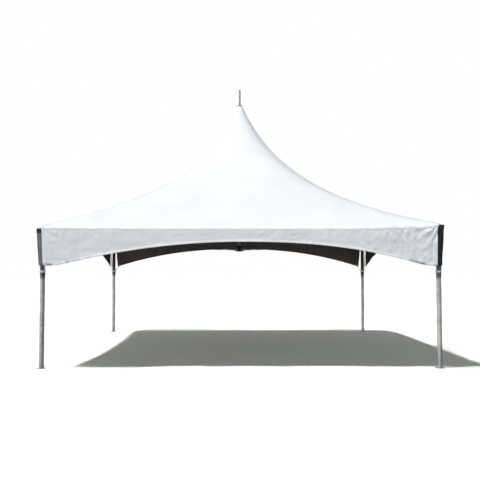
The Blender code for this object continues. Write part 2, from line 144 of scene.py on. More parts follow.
class MarqueeTrim(bpy.types.PropertyGroup):
    """Sizes and colours of webbing and cord."""

    strap_start: length("Strap start", "Inner edge of a strap from the tent's middle", 2.986)
    strap_width: length("Strap width", "Width of one strap tail", 0.060)
    strap_end: length("Strap end", "Height of the lower end of a strap", 1.550)
    cord_radius: length("Cord radius", "Radius of the valance ties", 0.0036)
    tie_height: length("Tie height", "Height of the cord that is wound on a leg", 1.450)
    webbing: colour("Webbing", "Colour of the corner webbing", "#131316")
    # Painted sunlight: this grey stands for the sun on the black webbing of the front left corner.
    sunlit_webbing: colour("Sunlit webbing", "Colour of the webbing that the sun has bleached", "#7A747C")
    cord: colour("Cord", "Colour of the valance ties", "#F0E9DF")
    eyelet: colour("Eyelet", "Colour of the pressed eyelets", "#B9B4AA")


class MarqueeMetal(bpy.types.PropertyGroup):
    """Colours of the frame."""

    tube: colour("Tube", "Colour of the drawn aluminium tubes", "#C2C0C2")
    # Painted shade: the beam grey is darker than the tubes' to stand for the deep shade under the
    # roof.
    beam: colour("Beams", "Colour of the oxidised aluminium beams", "#7F7E82")
    spike: colour("Spike", "Colour of the spike above the peak", "#A9AEC0")
    casting: colour("Casting", "Colour of the cast fittings", "#85868B")
    # The mast foot is a darker grey than the other castings.
    foot: colour("Mast foot", "Colour of the weathered mast foot", "#47484B")
    steel: colour("Steel", "Colour of the galvanised feet", "#8A8C8E")
    cable: colour("Cable", "Colour of the wire rope", "#7C7A77")
    zinc: colour("Zinc", "Colour of the plated pins and bolts", "#A9ABAF")


class MarqueeStage(bpy.types.PropertyGroup):
    """Camera, light and floor."""

    camera_height: length("Camera height", "Height of the lens above the ground", 1.474)
    camera_back: length("Camera distance", "From the lens to the middle of the tent", 13.10)
    camera_side: length("Camera offset", "Sideways place of the lens", -0.117)
    lens: FloatProperty(name="Lens", description="Focal length", default=49.95, unit="CAMERA")
    floor: colour("Floor", "Colour of the studio floor", "#F4F5F4")
    sun: amount("Key light", "Strength of the key light", 2.40)
    top: amount("Top light", "Strength of the even light from above", 0.42)
    front: amount("Front light", "Strength of the large soft light in front", 1.97)
    floor_sun: amount("Floor light", "Extra strength of the key light on the floor", 1.95)
    side: amount("Side light", "Strength of the soft light from the left", 0.14)
    mirrored: amount("Mirrored surround", "Brightness of the dark flags that metal mirrors", 0.13)
    screen: amount("Mirrored screen", "Brightness of the screen that metal mirrors", 5.0)
    fill_left: amount("Fill from the left", "Strength of the surround on the lit side", 0.14)
    fill_low: amount("Fill from below", "Share of the surround's light below the horizon", 0.55)
    fill_right: amount("Fill from the right", "Strength of the surround on the shaded side", 0.36)


# Node and mesh helpers


def add_node(tree, kind, settings=None, links=None, feeds=None):
    """Add a node; set its sockets, properties and ramp stops; link sockets into it and out."""
    node = tree.nodes.new(kind)
    for key, value in (settings or {}).items():
        if key == "stops":
            for stop, (position, shade) in zip(node.color_ramp.elements, value):
                stop.position = position
                stop.color = shade
        elif isinstance(key, int) or key in node.inputs:
            node.inputs[key].default_value = value
        else:
            setattr(node, key, value)
    for key, socket in (links or {}).items():
        tree.links.new(socket, node.inputs[key])
    for key, socket in (feeds or {}).items():
        tree.links.new(node.outputs[key], socket)
    return node


def start_material(name, base, roughness, metallic=0.0):
    """A Principled material with its tree, shader and Object coordinates."""
    material = bpy.data.materials.new(name)
    material.use_nodes = True
    tree = material.node_tree
    shader = tree.nodes["Principled BSDF"]
    shader.inputs["Base Color"].default_value = (*base, 1.0)
    shader.inputs["Roughness"].default_value = roughness
    shader.inputs["Metallic"].default_value = metallic
    material.diffuse_color = (*base, 1.0)
    place = add_node(tree, "ShaderNodeTexCoord")
    return material, tree, shader, place


def tint(base, factor):
    """The same colour, darker or lighter."""
    return (*(min(channel * factor, 1.0) for channel in base), 1.0)


def finish_piece(name, bm, materials, smooth=True):
    """Turn a bmesh into a piece at the origin that rides on the tent."""
    mesh = bpy.data.meshes.new(name)
    bm.to_mesh(mesh)
    bm.free()
    for material in materials:
        mesh.materials.append(material)
    if smooth:
        mesh.shade_smooth()
    piece = bpy.data.objects.new(name, mesh)
    bpy.context.scene.collection.objects.link(piece)
    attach(piece, "root")
    return piece


def thicken(piece, amount):
    """Give a sheet its thickness inwards, with the second material on the inner face."""
    solid = piece.modifiers.new("thickness", "SOLIDIFY")
    solid.thickness = amount
    solid.offset = -1.0
    solid.use_even_offset = True
    solid.material_offset = 1
    solid.material_offset_rim = 0
    return solid


def sheet_area(bm):
    """Area of the faces, in square metres."""
    return sum(face.calc_area() for face in bm.faces)


# Materials


def hip_strip(tree, coords):
    """1 on the strips along the four hips, 14 cm wide at the eave and 2 cm at the peak, else 0."""
    split = add_node(tree, "ShaderNodeSeparateXYZ", None, {"Vector": coords})
    across = add_node(tree, "ShaderNodeMath", {"operation": "ABSOLUTE"}, {0: split.outputs["X"]})
    along = add_node(tree, "ShaderNodeMath", {"operation": "ABSOLUTE"}, {0: split.outputs["Y"]})
    apart = add_node(tree, "ShaderNodeMath", {"operation": "SUBTRACT"},
                     {0: across.outputs["Value"], 1: along.outputs["Value"]})
    away = add_node(tree, "ShaderNodeMath", {"operation": "ABSOLUTE"},
                    {0: apart.outputs["Value"]})
    width = add_node(tree, "ShaderNodeMath", {"operation": "MULTIPLY_ADD", 1: 0.026, 2: 0.016},
                     {0: across.outputs["Value"]})
    past = add_node(tree, "ShaderNodeMath", {"operation": "SUBTRACT"},
                    {0: away.outputs["Value"], 1: width.outputs["Value"]})
    edge = add_node(tree, "ShaderNodeMapRange", {"From Min": -0.004, "From Max": 0.004,
                                                 "To Min": 1.0, "To Max": 0.0},
                    {"Value": past.outputs["Value"]})
    return edge.outputs["Result"]


def scrim(tree, uv, distortion, operation):
    """Height of the scrim's threads, 1 mm apart; drawn at 6 mm so that they can show at all."""
    threads = [add_node(tree, "ShaderNodeTexWave", {"bands_direction": axis, "Scale": 52.0,
                                                    "Distortion": distortion}, {"Vector": uv})
               for axis in "XY"]
    both = add_node(tree, "ShaderNodeMath", {"operation": operation},
                    {index: thread.outputs["Fac"] for index, thread in enumerate(threads)})
    return both.outputs["Value"]


def coated_cloth(name, base, stretched):
    """PVC-coated polyester, calendered: satin white, a faint scrim, welded seams, greyer hips that
    are partly painted shade, and a hem darkened near its ends.
    """
    material, tree, shader, place = start_material(name, base, 0.42)
    shader.inputs["Coat Weight"].default_value = 0.03
    shader.inputs["Coat Roughness"].default_value = 0.35
    shader.inputs["Specular IOR Level"].default_value = 0.18
    coords = place.outputs["Object"]
    uv = add_node(tree, "ShaderNodeUVMap", {"uv_map": "cloth"}).outputs["UV"]
    # Clouded tone, half a metre across and finer, as rain leaves it.
    clouds = add_node(tree, "ShaderNodeTexNoise", {"Scale": 1.6, "Detail": 5.0,
                                                  "Roughness": 0.6}, {"Vector": coords})
    tone = add_node(tree, "ShaderNodeValToRGB",
                    {"stops": ((0.30, tint(base, 0.945)), (0.62, tint(base, 1.0)))},
                    {"Fac": clouds.outputs["Fac"]})
    # Weld lines between cloth widths, 25 mm wide and 1.5 m apart.
    split = add_node(tree, "ShaderNodeSeparateXYZ", None, {"Vector": uv})
    shift = add_node(tree, "ShaderNodeMath", {"operation": "ADD", 1: 0.75},
                     {0: split.outputs["X"]})
    wrap = add_node(tree, "ShaderNodeMath", {"operation": "PINGPONG", 1: 0.75},
                    {0: shift.outputs["Value"]})
    weld = add_node(tree, "ShaderNodeMapRange", {"From Min": 0.010, "From Max": 0.013,
                                                 "To Min": 1.0, "To Max": 0.0},
                    {"Value": wrap.outputs["Value"]})
    # Hem and sewing lines run along the lower edge, at set distances above it.
    hem = add_node(tree, "ShaderNodeMapRange", {"From Min": 0.029, "From Max": 0.031,
                                                "To Min": 1.0, "To Max": 0.0},
                   {"Value": split.outputs["Y"]})
    raised = add_node(tree, "ShaderNodeMath", {"operation": "MAXIMUM"},
                      {0: weld.outputs["Result"], 1: hem.outputs["Result"]})
    plain = tone.outputs["Color"]
    # The four hips carry a welded double strip, painted greyer and wider than the seam itself:
    # partly the seam, partly painted shade along the hips.
    if stretched:
        hips = add_node(tree, "ShaderNodeMix", {"data_type": "RGBA", "blend_type": "MULTIPLY",
                                                7: (0.83, 0.84, 0.85, 1.0)},
                        {"Factor": hip_strip(tree, coords), 6: plain})
        plain = hips.outputs[2]
    seams = add_node(tree, "ShaderNodeMix", {"data_type": "RGBA", "blend_type": "MULTIPLY",
                                             7: (0.985, 0.986, 0.988, 1.0)},
                     {"Factor": raised.outputs["Value"], 6: plain})
    # The hem is darkened near its ends, in patches 11 cm across.
    reach = add_node(tree, "ShaderNodeMath", {"operation": "ABSOLUTE"}, {0: split.outputs["X"]})
    ends = add_node(tree, "ShaderNodeMapRange", {"From Min": 2.2, "From Max": 2.8},
                    {"Value": reach.outputs["Value"]})
    near_hem = add_node(tree, "ShaderNodeMapRange", {"From Min": 0.012, "From Max": 0.055,
                                                     "To Min": 1.0, "To Max": 0.0},
                        {"Value": split.outputs["Y"]})
    patches = add_node(tree, "ShaderNodeTexNoise", {"Scale": 9.0, "Detail": 3.0},
                       {"Vector": coords})
    # The very corners, where the cord is tied, are darkened all through.
    tied = add_node(tree, "ShaderNodeMapRange", {"From Min": 2.84, "From Max": 2.93,
                                                 "To Max": 0.12},
                    {"Value": reach.outputs["Value"]})
    near_cord = add_node(tree, "ShaderNodeMath", {"operation": "ADD"},
                         {0: patches.outputs["Fac"], 1: tied.outputs["Result"]})
    thick = add_node(tree, "ShaderNodeMapRange", {"From Min": 0.46, "From Max": 0.58,
                                                  "To Max": 0.0 if stretched else 0.90},
                     {"Value": near_cord.outputs["Value"]})
    where = add_node(tree, "ShaderNodeMath", {"operation": "MULTIPLY"},
                     {0: ends.outputs["Result"], 1: near_hem.outputs["Result"]})
    hem_darkening = add_node(tree, "ShaderNodeMath", {"operation": "MULTIPLY"},
                    {0: where.outputs["Value"], 1: thick.outputs["Result"]})
    add_node(tree, "ShaderNodeMix", {"data_type": "RGBA", 7: (*linear("#67656A"), 1.0)},
             {"Factor": hem_darkening.outputs["Value"], 6: seams.outputs[2]},
             {2: shader.inputs["Base Color"]})
    fine = add_node(tree, "ShaderNodeBump", {"Strength": 0.06, "Distance": 0.0006},
                    {"Height": scrim(tree, uv, 0.3, "ADD")})
    ridge = add_node(tree, "ShaderNodeBump", {"Strength": 0.6, "Distance": 0.0015},
                     {"Height": raised.outputs["Value"], "Normal": fine.outputs["Normal"]})
    # Slack and tight patches of cloth, 31 cm across on the roof and 18 cm on the valances.
    waves = add_node(tree, "ShaderNodeTexNoise", {"Scale": 3.2 if stretched else 5.5,
                                                  "Detail": 3.0}, {"Vector": coords})
    soft = add_node(tree, "ShaderNodeBump", {"Strength": 0.25 if stretched else 0.5,
                                             "Distance": 0.03},
                    {"Height": waves.outputs["Fac"], "Normal": ridge.outputs["Normal"]})
    # Fine crumpling, 5 cm across, that the roof loses because it is stretched.
    crumple = add_node(tree, "ShaderNodeTexNoise", {"Scale": 20.0, "Detail": 2.0},
                       {"Vector": coords})
    add_node(tree, "ShaderNodeBump", {"Strength": 0.05 if stretched else 0.5,
                                      "Distance": 0.0022},
             {"Height": crumple.outputs["Fac"], "Normal": soft.outputs["Normal"]},
             {"Normal": shader.inputs["Normal"]})
    add_node(tree, "ShaderNodeMapRange", {"To Min": 0.36, "To Max": 0.52},
             {"Value": clouds.outputs["Fac"]}, {"Result": shader.inputs["Roughness"]})
    return material


def backing_cloth(base):
    """Light-proof backing of the same cloth, painted dark as the shade under the roof: matt, with
    the scrim pressed through.
    """
    material, tree, shader, place = start_material("shade_dark_backing", base, 0.7)
    shader.inputs["Specular IOR Level"].default_value = 0.25
    uv = add_node(tree, "ShaderNodeUVMap", {"uv_map": "cloth"}).outputs["UV"]
    clouds = add_node(tree, "ShaderNodeTexNoise", {"Scale": 2.4, "Detail": 6.0},
                      {"Vector": place.outputs["Object"]})
    tone = add_node(tree, "ShaderNodeValToRGB",
                    {"stops": ((0.30, tint(base, 0.72)), (0.70, tint(base, 1.18)))},
                    {"Fac": clouds.outputs["Fac"]})
    tree.links.new(tone.outputs["Color"], shader.inputs["Base Color"])
    add_node(tree, "ShaderNodeBump", {"Strength": 0.3, "Distance": 0.001},
             {"Height": scrim(tree, uv, 0.0, "MULTIPLY")}, {"Normal": shader.inputs["Normal"]})
    return material


def polyester_webbing(name, top, tail):
    """Woven polyester strap: ribbed across, dusty on its high threads; the top colour paints the
    shade under the eave, and a lighter tail colour paints sunlight on the tail.
    """
    material, tree, shader, place = start_material(name, tail, 0.74)
    shader.inputs["Sheen Weight"].default_value = 0.12
    shader.inputs["Sheen Roughness"].default_value = 0.4
    weave = add_node(tree, "ShaderNodeUVMap", {"uv_map": "weave"}).outputs["UV"]
    # Ribs are 2.2 mm apart; drawn at 7 mm so that they show.
    ribs = add_node(tree, "ShaderNodeTexWave", {"bands_direction": "Y", "Scale": 45.0,
                                                "Distortion": 0.4}, {"Vector": weave})
    dust = add_node(tree, "ShaderNodeTexNoise", {"Scale": 14.0, "Detail": 6.0,
                                                 "Roughness": 0.65},
                    {"Vector": place.outputs["Object"]})
    # Painted shade: the last 50 mm under the eave stay in the top colour, black, where the roof
    # shades the webbing; below it comes the tail colour, which on the front left corner is painted
    # sunlight.
    height = add_node(tree, "ShaderNodeSeparateXYZ", None, {"Vector": weave})
    shade = add_node(tree, "ShaderNodeMapRange", {"From Min": 2.020, "From Max": 2.045},
                     {"Value": height.outputs["Y"]})
    painted_light_and_shade = add_node(tree, "ShaderNodeMix", {"data_type": "RGBA", 6: (*tail, 1.0),
                                            7: (*top, 1.0)},
                    {"Factor": shade.outputs["Result"]})
    spread = add_node(tree, "ShaderNodeMapRange", {"From Min": 0.45, "From Max": 0.85,
                                                   "To Max": 0.45},
                      {"Value": dust.outputs["Fac"]})
    add_node(tree, "ShaderNodeMix", {"data_type": "RGBA", 7: (*linear("#55535A"), 1.0)},
             {"Factor": spread.outputs["Result"], 6: painted_light_and_shade.outputs[2]},
             {2: shader.inputs["Base Color"]})
    add_node(tree, "ShaderNodeBump", {"Strength": 0.6, "Distance": 0.0012},
             {"Height": ribs.outputs["Fac"]}, {"Normal": shader.inputs["Normal"]})
    return material


def braided_cord(base):
    """Braided elastic cord: pale, matt, plaited from strands 3 mm wide."""
    material, tree, shader, _ = start_material("braided_cord", base, 0.8)
    uv = add_node(tree, "ShaderNodeUVMap", {"uv_map": "plait"})
    # Eight strands go round the cord, and each shows for 3 mm of its length.
    grid = add_node(tree, "ShaderNodeMapping", {"Scale": (8.0, 330.0, 1.0),
                                                "Rotation": (0.0, 0.0, 0.6)},
                    {"Vector": uv.outputs["UV"]})
    plait = add_node(tree, "ShaderNodeTexVoronoi", {"Scale": 1.0, "Randomness": 0.15},
                     {"Vector": grid.outputs["Vector"]})
    tone = add_node(tree, "ShaderNodeValToRGB",
                    {"stops": ((0.0, (*base, 1.0)), (1.0, tint(base, 0.78)))},
                    {"Fac": plait.outputs["Distance"]})
    tree.links.new(tone.outputs["Color"], shader.inputs["Base Color"])
    add_node(tree, "ShaderNodeBump", {"Strength": 0.5, "Distance": 0.001},
             {"Height": plait.outputs["Distance"]}, {"Normal": shader.inputs["Normal"]})
    return material


def close_to_mast(tree, coords, near, far):
    """1 closer to the mast's axis than one distance, falling to 0 at another."""
    flat = add_node(tree, "ShaderNodeVectorMath", {"operation": "MULTIPLY", 1: (1.0, 1.0, 0.0)},
                    {0: coords})
    away = add_node(tree, "ShaderNodeVectorMath", {"operation": "LENGTH"},
                    {0: flat.outputs["Vector"]})
    fall = add_node(tree, "ShaderNodeMapRange", {"From Min": near, "From Max": far,
                                                 "To Min": 1.0, "To Max": 0.0},
                    {"Value": away.outputs["Value"]})
    return fall.outputs["Result"]


def drawn_aluminium(name, base, stretch, upright=False):
    """Mill-finish aluminium tube, oxidised: chalky grey, fine lines along it, scuffs; on legs a
    painted shade over the upper end.
    """
    material, tree, shader, place = start_material(name, base, 0.52, 0.68)
    coords = place.outputs["Object"]
    lined = add_node(tree, "ShaderNodeMapping", {"Scale": stretch}, {"Vector": coords})
    # Drawing lines are about 1 mm wide and half a metre long.
    lines = add_node(tree, "ShaderNodeTexNoise", {"Scale": 1.0, "Detail": 4.0},
                     {"Vector": lined.outputs["Vector"]})
    patches = add_node(tree, "ShaderNodeTexNoise", {"Scale": 5.0, "Detail": 6.0,
                                                    "Roughness": 0.7}, {"Vector": coords})
    tone = add_node(tree, "ShaderNodeValToRGB",
                    {"stops": ((0.32, tint(base, 0.66)), (0.60, tint(base, 1.05)))},
                    {"Fac": patches.outputs["Fac"]})
    # Painted shade: the upper end of a leg, which the roof, the valances and the webbing shade, is
    # darkened down to a ragged edge.
    height = add_node(tree, "ShaderNodeSeparateXYZ", None, {"Vector": coords})
    ragged = add_node(tree, "ShaderNodeMath", {"operation": "MULTIPLY_ADD", 1: 0.05},
                      {0: patches.outputs["Fac"], 2: height.outputs["Z"]})
    painted_leg_shade = add_node(tree, "ShaderNodeMapRange", {"From Min": 1.345, "From Max": 1.405,
                                                   "To Max": 0.75 if upright else 0.0},
                      {"Value": ragged.outputs["Value"]})
    add_node(tree, "ShaderNodeMix", {"data_type": "RGBA", 7: (*linear("#2B2A2B"), 1.0)},
             {"Factor": painted_leg_shade.outputs["Result"], 6: tone.outputs["Color"]},
             {2: shader.inputs["Base Color"]})
    add_node(tree, "ShaderNodeMapRange", {"To Min": 0.44, "To Max": 0.62},
             {"Value": patches.outputs["Fac"]}, {"Result": shader.inputs["Roughness"]})
    add_node(tree, "ShaderNodeBump", {"Strength": 0.25, "Distance": 0.0004},
             {"Height": lines.outputs["Fac"]}, {"Normal": shader.inputs["Normal"]})
    return material


def anodised_aluminium(base):
    """Clear-anodised aluminium of the spike: a cool, even satin with faint lines along it."""
    material, tree, shader, place = start_material("anodised_aluminium", base, 0.42, 0.6)
    lined = add_node(tree, "ShaderNodeMapping", {"Scale": (700, 700, 3)},
                     {"Vector": place.outputs["Object"]})
    lines = add_node(tree, "ShaderNodeTexNoise", {"Scale": 1.0, "Detail": 3.0},
                     {"Vector": lined.outputs["Vector"]})
    tone = add_node(tree, "ShaderNodeValToRGB",
                    {"stops": ((0.0, tint(base, 0.86)), (1.0, tint(base, 1.06)))},
                    {"Fac": lines.outputs["Fac"]})
    tree.links.new(tone.outputs["Color"], shader.inputs["Base Color"])
    add_node(tree, "ShaderNodeMapRange", {"To Min": 0.36, "To Max": 0.50},
             {"Value": lines.outputs["Fac"]}, {"Result": shader.inputs["Roughness"]})
    return material


def sand_cast_aluminium(name, base, lugs=False):
    """Sand-cast aluminium: dull grey with 2 mm grain and darker hollows, scuffed pale on lugs."""
    material, tree, shader, place = start_material(name, base, 0.58, 0.55)
    coords = place.outputs["Object"]
    grain = add_node(tree, "ShaderNodeTexNoise", {"Scale": 420.0, "Detail": 3.0},
                     {"Vector": coords})
    stain = add_node(tree, "ShaderNodeTexNoise", {"Scale": 22.0, "Detail": 5.0},
                     {"Vector": coords})
    tone = add_node(tree, "ShaderNodeValToRGB",
                    {"stops": ((0.35, tint(base, 0.55)), (0.65, tint(base, 1.08)))},
                    {"Fac": stain.outputs["Fac"]})
    tree.links.new(tone.outputs["Color"], shader.inputs["Base Color"])
    if lugs:
        # The lugs that the cables work in stick out beyond the dark cup and are scuffed bare.
        cup = close_to_mast(tree, coords, 0.039, 0.043)
        add_node(tree, "ShaderNodeMix", {"data_type": "RGBA", 6: (*linear("#D9D0CB"), 1.0)},
                 {"Factor": cup, 7: tone.outputs["Color"]}, {2: shader.inputs["Base Color"]})
    add_node(tree, "ShaderNodeBump", {"Strength": 0.4, "Distance": 0.0007},
             {"Height": grain.outputs["Fac"]}, {"Normal": shader.inputs["Normal"]})
    return material


def galvanised_steel(base):
    """Hot-dip galvanised steel: crystal spangle 8 to 15 mm across in shades of grey."""
    material, tree, shader, place = start_material("galvanised_steel", base, 0.48, 0.85)
    spangle = add_node(tree, "ShaderNodeTexVoronoi", {"Scale": 90.0},
                       {"Vector": place.outputs["Object"]})
    shade = add_node(tree, "ShaderNodeSeparateColor", None, {"Color": spangle.outputs["Color"]})
    tone = add_node(tree, "ShaderNodeValToRGB",
                    {"stops": ((0.0, tint(base, 0.72)), (1.0, tint(base, 1.15)))},
                    {"Fac": shade.outputs["Red"]})
    tree.links.new(tone.outputs["Color"], shader.inputs["Base Color"])
    add_node(tree, "ShaderNodeMapRange", {"To Min": 0.38, "To Max": 0.60},
             {"Value": shade.outputs["Green"]}, {"Result": shader.inputs["Roughness"]})
    return material


def wire_rope(base):
    """Galvanised wire rope: dull bright strands, dark with old grease in the grooves."""
    material, tree, shader, place = start_material("galvanised_wire_rope", base, 0.42, 0.35)
    # Wires are 0.6 mm thick; drawn as 2 mm bands so that they show.
    coords = place.outputs["Object"]
    wires = add_node(tree, "ShaderNodeTexNoise", {"Scale": 500.0, "Detail": 2.0},
                     {"Vector": coords})
    grease = add_node(tree, "ShaderNodeTexNoise", {"Scale": 9.0, "Detail": 5.0},
                      {"Vector": coords})
    tone = add_node(tree, "ShaderNodeValToRGB",
                    {"stops": ((0.35, tint(base, 0.55)), (0.62, tint(base, 1.15)))},
                    {"Fac": grease.outputs["Fac"]})
    # The end fittings at the mast, 160 mm long, are new and bright.
    ends = close_to_mast(tree, coords, 0.24, 0.26)
    add_node(tree, "ShaderNodeMix", {"data_type": "RGBA", 7: (*linear("#DDD5D1"), 1.0)},
             {"Factor": ends, 6: tone.outputs["Color"]}, {2: shader.inputs["Base Color"]})
    add_node(tree, "ShaderNodeBump", {"Strength": 0.5, "Distance": 0.0006},
             {"Height": wires.outputs["Fac"]}, {"Normal": shader.inputs["Normal"]})
    return material


def zinc_plate(base):
    """Zinc-plated steel of pins and bolts: brighter than the castings, a little cloudy."""
    material, tree, shader, place = start_material("zinc_plate", base, 0.34, 1.0)
    haze = add_node(tree, "ShaderNodeTexNoise", {"Scale": 60.0, "Detail": 4.0},
                    {"Vector": place.outputs["Object"]})
    add_node(tree, "ShaderNodeMapRange", {"To Min": 0.24, "To Max": 0.50},
             {"Value": haze.outputs["Fac"]}, {"Result": shader.inputs["Roughness"]})
    return material


def nickel_plate(base):
    """Nickel-plated brass of the eyelets: warm grey, smooth, a little dulled."""
    material, tree, shader, place = start_material("nickel_plated_brass", base, 0.30, 1.0)
    haze = add_node(tree, "ShaderNodeTexNoise", {"Scale": 240.0, "Detail": 3.0},
                    {"Vector": place.outputs["Object"]})
    add_node(tree, "ShaderNodeMapRange", {"To Min": 0.22, "To Max": 0.48},
             {"Value": haze.outputs["Fac"]}, {"Result": shader.inputs["Roughness"]})
    return material


def studio_floor(base):
    """Matt painted studio floor: pale, with no pattern that would draw the eye."""
    material, _, shader, _ = start_material("painted_floor", base, 0.9)
    shader.inputs["Specular IOR Level"].default_value = 0.1
    return material


# Shapes


def clamp(value):
    """The value, kept between 0 and 1."""
    return min(max(value, 0.0), 1.0)


def bell(distance, width):
    """1 at no distance, falling smoothly to about a third at the width."""
    return math.exp(-((distance / width) ** 2))


def smooth_noise(x, y, z):
    """Smooth noise between -1 and 1 at a place."""
    return noise.noise(Vector((x, y, z)))


def grow_rim(bm, edges):
    """Extrude edges in place and return the new vertices, the edges between them, the faces."""
    grown = bmesh.ops.extrude_edge_only(bm, edges=edges)["geom"]
    verts = {g for g in grown if isinstance(g, bmesh.types.BMVert)}
    edges = [g for g in grown if isinstance(g, bmesh.types.BMEdge)
             and all(v in verts for v in g.verts)]
    return verts, edges, [g for g in grown if isinstance(g, bmesh.types.BMFace)]


def nearest_eave(x, y):
    """Axis across the nearest eave, distance out and along from the middle, noise offset."""
    axis = 0 if abs(x) > abs(y) else 1
    reach, across = (x, y) if axis == 0 else (y, x)
    return axis, reach, across, math.copysign((2.0, 5.0)[axis], reach)


def roof_height(settings, rho):
    """Height of the roof, from the peak at 0 to the eave at 1."""
    sag = settings.sag
    share = math.log((1 + sag) / (rho + sag)) / math.log((1 + sag) / sag)
    return settings.eave_height + (settings.peak_height - settings.eave_height) * share


def roof_point(settings, rho, theta):
    """Roof surface: round contours at the peak that turn square at the eave."""
    roundness = 1.0 - clamp(rho) ** settings.squareness
    across = abs(math.cos(theta))
    along = abs(math.sin(theta))
    if roundness > 1.0 / 30.0:
        power = 2.0 / roundness
        reach = (across ** power + along ** power) ** (-1.0 / power)
        corner = math.sqrt(2.0) * 2.0 ** (-1.0 / power)
    else:
        reach = 1.0 / max(across, along)
        corner = math.sqrt(2.0)
    hip = settings.peak_radius + (settings.eave_half * math.sqrt(2.0) - settings.peak_radius) * rho
    reach *= hip / corner
    return Vector((reach * math.cos(theta), reach * math.sin(theta), roof_height(settings, rho)))


def roof_ripple(settings, point, rho):
    """How far the stretched cloth stands off its ideal shape: folds that fan from the corners."""
    beside = settings.eave_half - max(abs(point.x), abs(point.y))
    held = min(beside / 0.12, 1.0)
    away_x = settings.eave_half - abs(point.x)
    away_y = settings.eave_half - abs(point.y)
    distance = math.hypot(away_x, away_y)
    turn = math.atan2(away_y, away_x) - math.pi / 4
    fan = 0.0035 * math.exp(-distance / 0.6) * math.cos(22.0 * turn)
    slack = noise.noise(point * 1.1) * 0.007 + noise.noise(point * 2.7) * 0.0025
    return (fan + slack * math.sin(math.pi * min(rho, 1.0))) * held


def eave_dip(settings, across):
    """How far the eave line hangs below its corners."""
    return settings.eave_sag * max(1.0 - (across / settings.eave_half) ** 4, 0.0)


def corner_rise(settings, x, y):
    """How far the cloth is pulled up over the front right corner."""
    away = math.hypot(settings.eave_half - x, settings.eave_half + y)
    return settings.corner_lift * bell(away, 0.80)


def eave_gather(across, side):
    """Small gathers where the cloth is drawn over the beam and laced behind it."""
    patch = 0.35 + 1.3 * abs(smooth_noise(across * 0.9, side, 3.0))
    patch += 0.5 * min(abs(across) / 3.0, 1.0) ** 2
    # The wind has worked the right half looser.
    patch *= 0.8 + clamp((across + 0.2) / 1.2)
    return patch * (0.0110 * smooth_noise(across * 5.0, side, 0.0)
                    + 0.0075 * smooth_noise(across * 11.0, side, 7.0)
                    + 0.0020 * smooth_noise(across * 27.0, side, 9.0))


def make_roof_cloth(settings):
    """Bmesh of the roof: a grid pulled onto the surface, with its rim turned down and folded."""
    bm = bmesh.new()
    rings = settings.rings
    open_rows, gathered, fold = 5, 0.30, 0.04
    first = open_rows / rings
    bmesh.ops.create_grid(bm, x_segments=2 * rings, y_segments=2 * rings, size=1.0)
    middle = [v for v in bm.verts if max(abs(v.co.x), abs(v.co.y)) < first - 0.5 / rings]
    bmesh.ops.delete(bm, geom=middle, context="VERTS")
    rim = [e for e in bm.edges if e.is_boundary
           and all(max(abs(v.co.x), abs(v.co.y)) > 0.999 for v in e.verts)]
    growth = (1 + settings.sag) / settings.sag
    for vert in bm.verts:
        ring = max(abs(vert.co.x), abs(vert.co.y))
        theta = math.atan2(vert.co.y, vert.co.x)
        share = clamp((ring - first) / (1.0 - first))
        rho = 0.6 * settings.sag * (growth ** share - 1) + 0.4 * share
        vert.co = roof_point(settings, min(rho, 1.0), theta)
        if 0.0 < share < 1.0:
            ahead = roof_point(settings, rho + 0.002, theta) - vert.co
            side = roof_point(settings, rho, theta + 0.002) - vert.co
            vert.co += ahead.cross(side).normalized() * roof_ripple(settings, vert.co, rho)
    # The rim hangs straight down, and the crease and the four upright corners are rounded.
    low = settings.eave_height - settings.edge_drop
    edges = rim
    for height in (low + 0.002, low):
        fresh, edges, _ = grow_rim(bm, edges)
        for vert in fresh:
            vert.co.z = height
    inner = settings.eave_half - 0.001
    upright = [e for e in bm.edges if abs(e.verts[0].co.z - e.verts[1].co.z) > 0.001
               and all(min(abs(v.co.x), abs(v.co.y)) > inner for v in e.verts)]
    bmesh.ops.bevel(bm, geom=rim + upright, offset=settings.fold_radius, segments=6,
                    affect="EDGES", profile=0.5, material=-1)
    bmesh.ops.recalc_face_normals(bm, faces=bm.faces)
    for vert in bm.verts:
        axis, reach, across, side = nearest_eave(vert.co.x, vert.co.y)
        beside = settings.eave_half - abs(reach)
        if beside < gathered:
            near = (1.0 - beside / gathered) * min((settings.eave_half - abs(across)) / 0.1, 1.0)
            push = eave_gather(across, side) * near
            vert.co.z += push - (eave_dip(settings, across) if beside < fold else 0.0)
            if beside < fold:
                vert.co[axis] += math.copysign(0.3 * push, reach)
        vert.co.z += corner_rise(settings, vert.co.x, vert.co.y)
    uv = bm.loops.layers.uv.new("cloth")
    for face in bm.faces:
        centre = face.calc_center_median()
        axis = nearest_eave(centre.x, centre.y)[0]
        for loop in face.loops:
            point = loop.vert.co
            reach, across = point[axis], point[1 - axis]
            slope = math.hypot(settings.eave_half - abs(reach), point.z - settings.eave_height)
            above = point.z - low if point.z < settings.eave_height - 0.002 else slope + 0.040
            loop[uv].uv = (across, above)
    return bm


def valance_drop(settings, side, across):
    """Depth of a valance below the eave line at a distance from its middle."""
    least, arch, power = settings.side_drop, settings.side_arch, settings.side_power
    if side == "front":
        least, arch, power = settings.front_drop, settings.front_arch, settings.front_power
        if across < 0.0:
            arch, power = settings.full_arch, settings.full_power
    drop = least + arch * abs(across) ** power
    near = max(0.04 - abs(settings.most_drop - drop), 0.0)
    return min(drop, settings.most_drop) - near ** 2 / 0.16


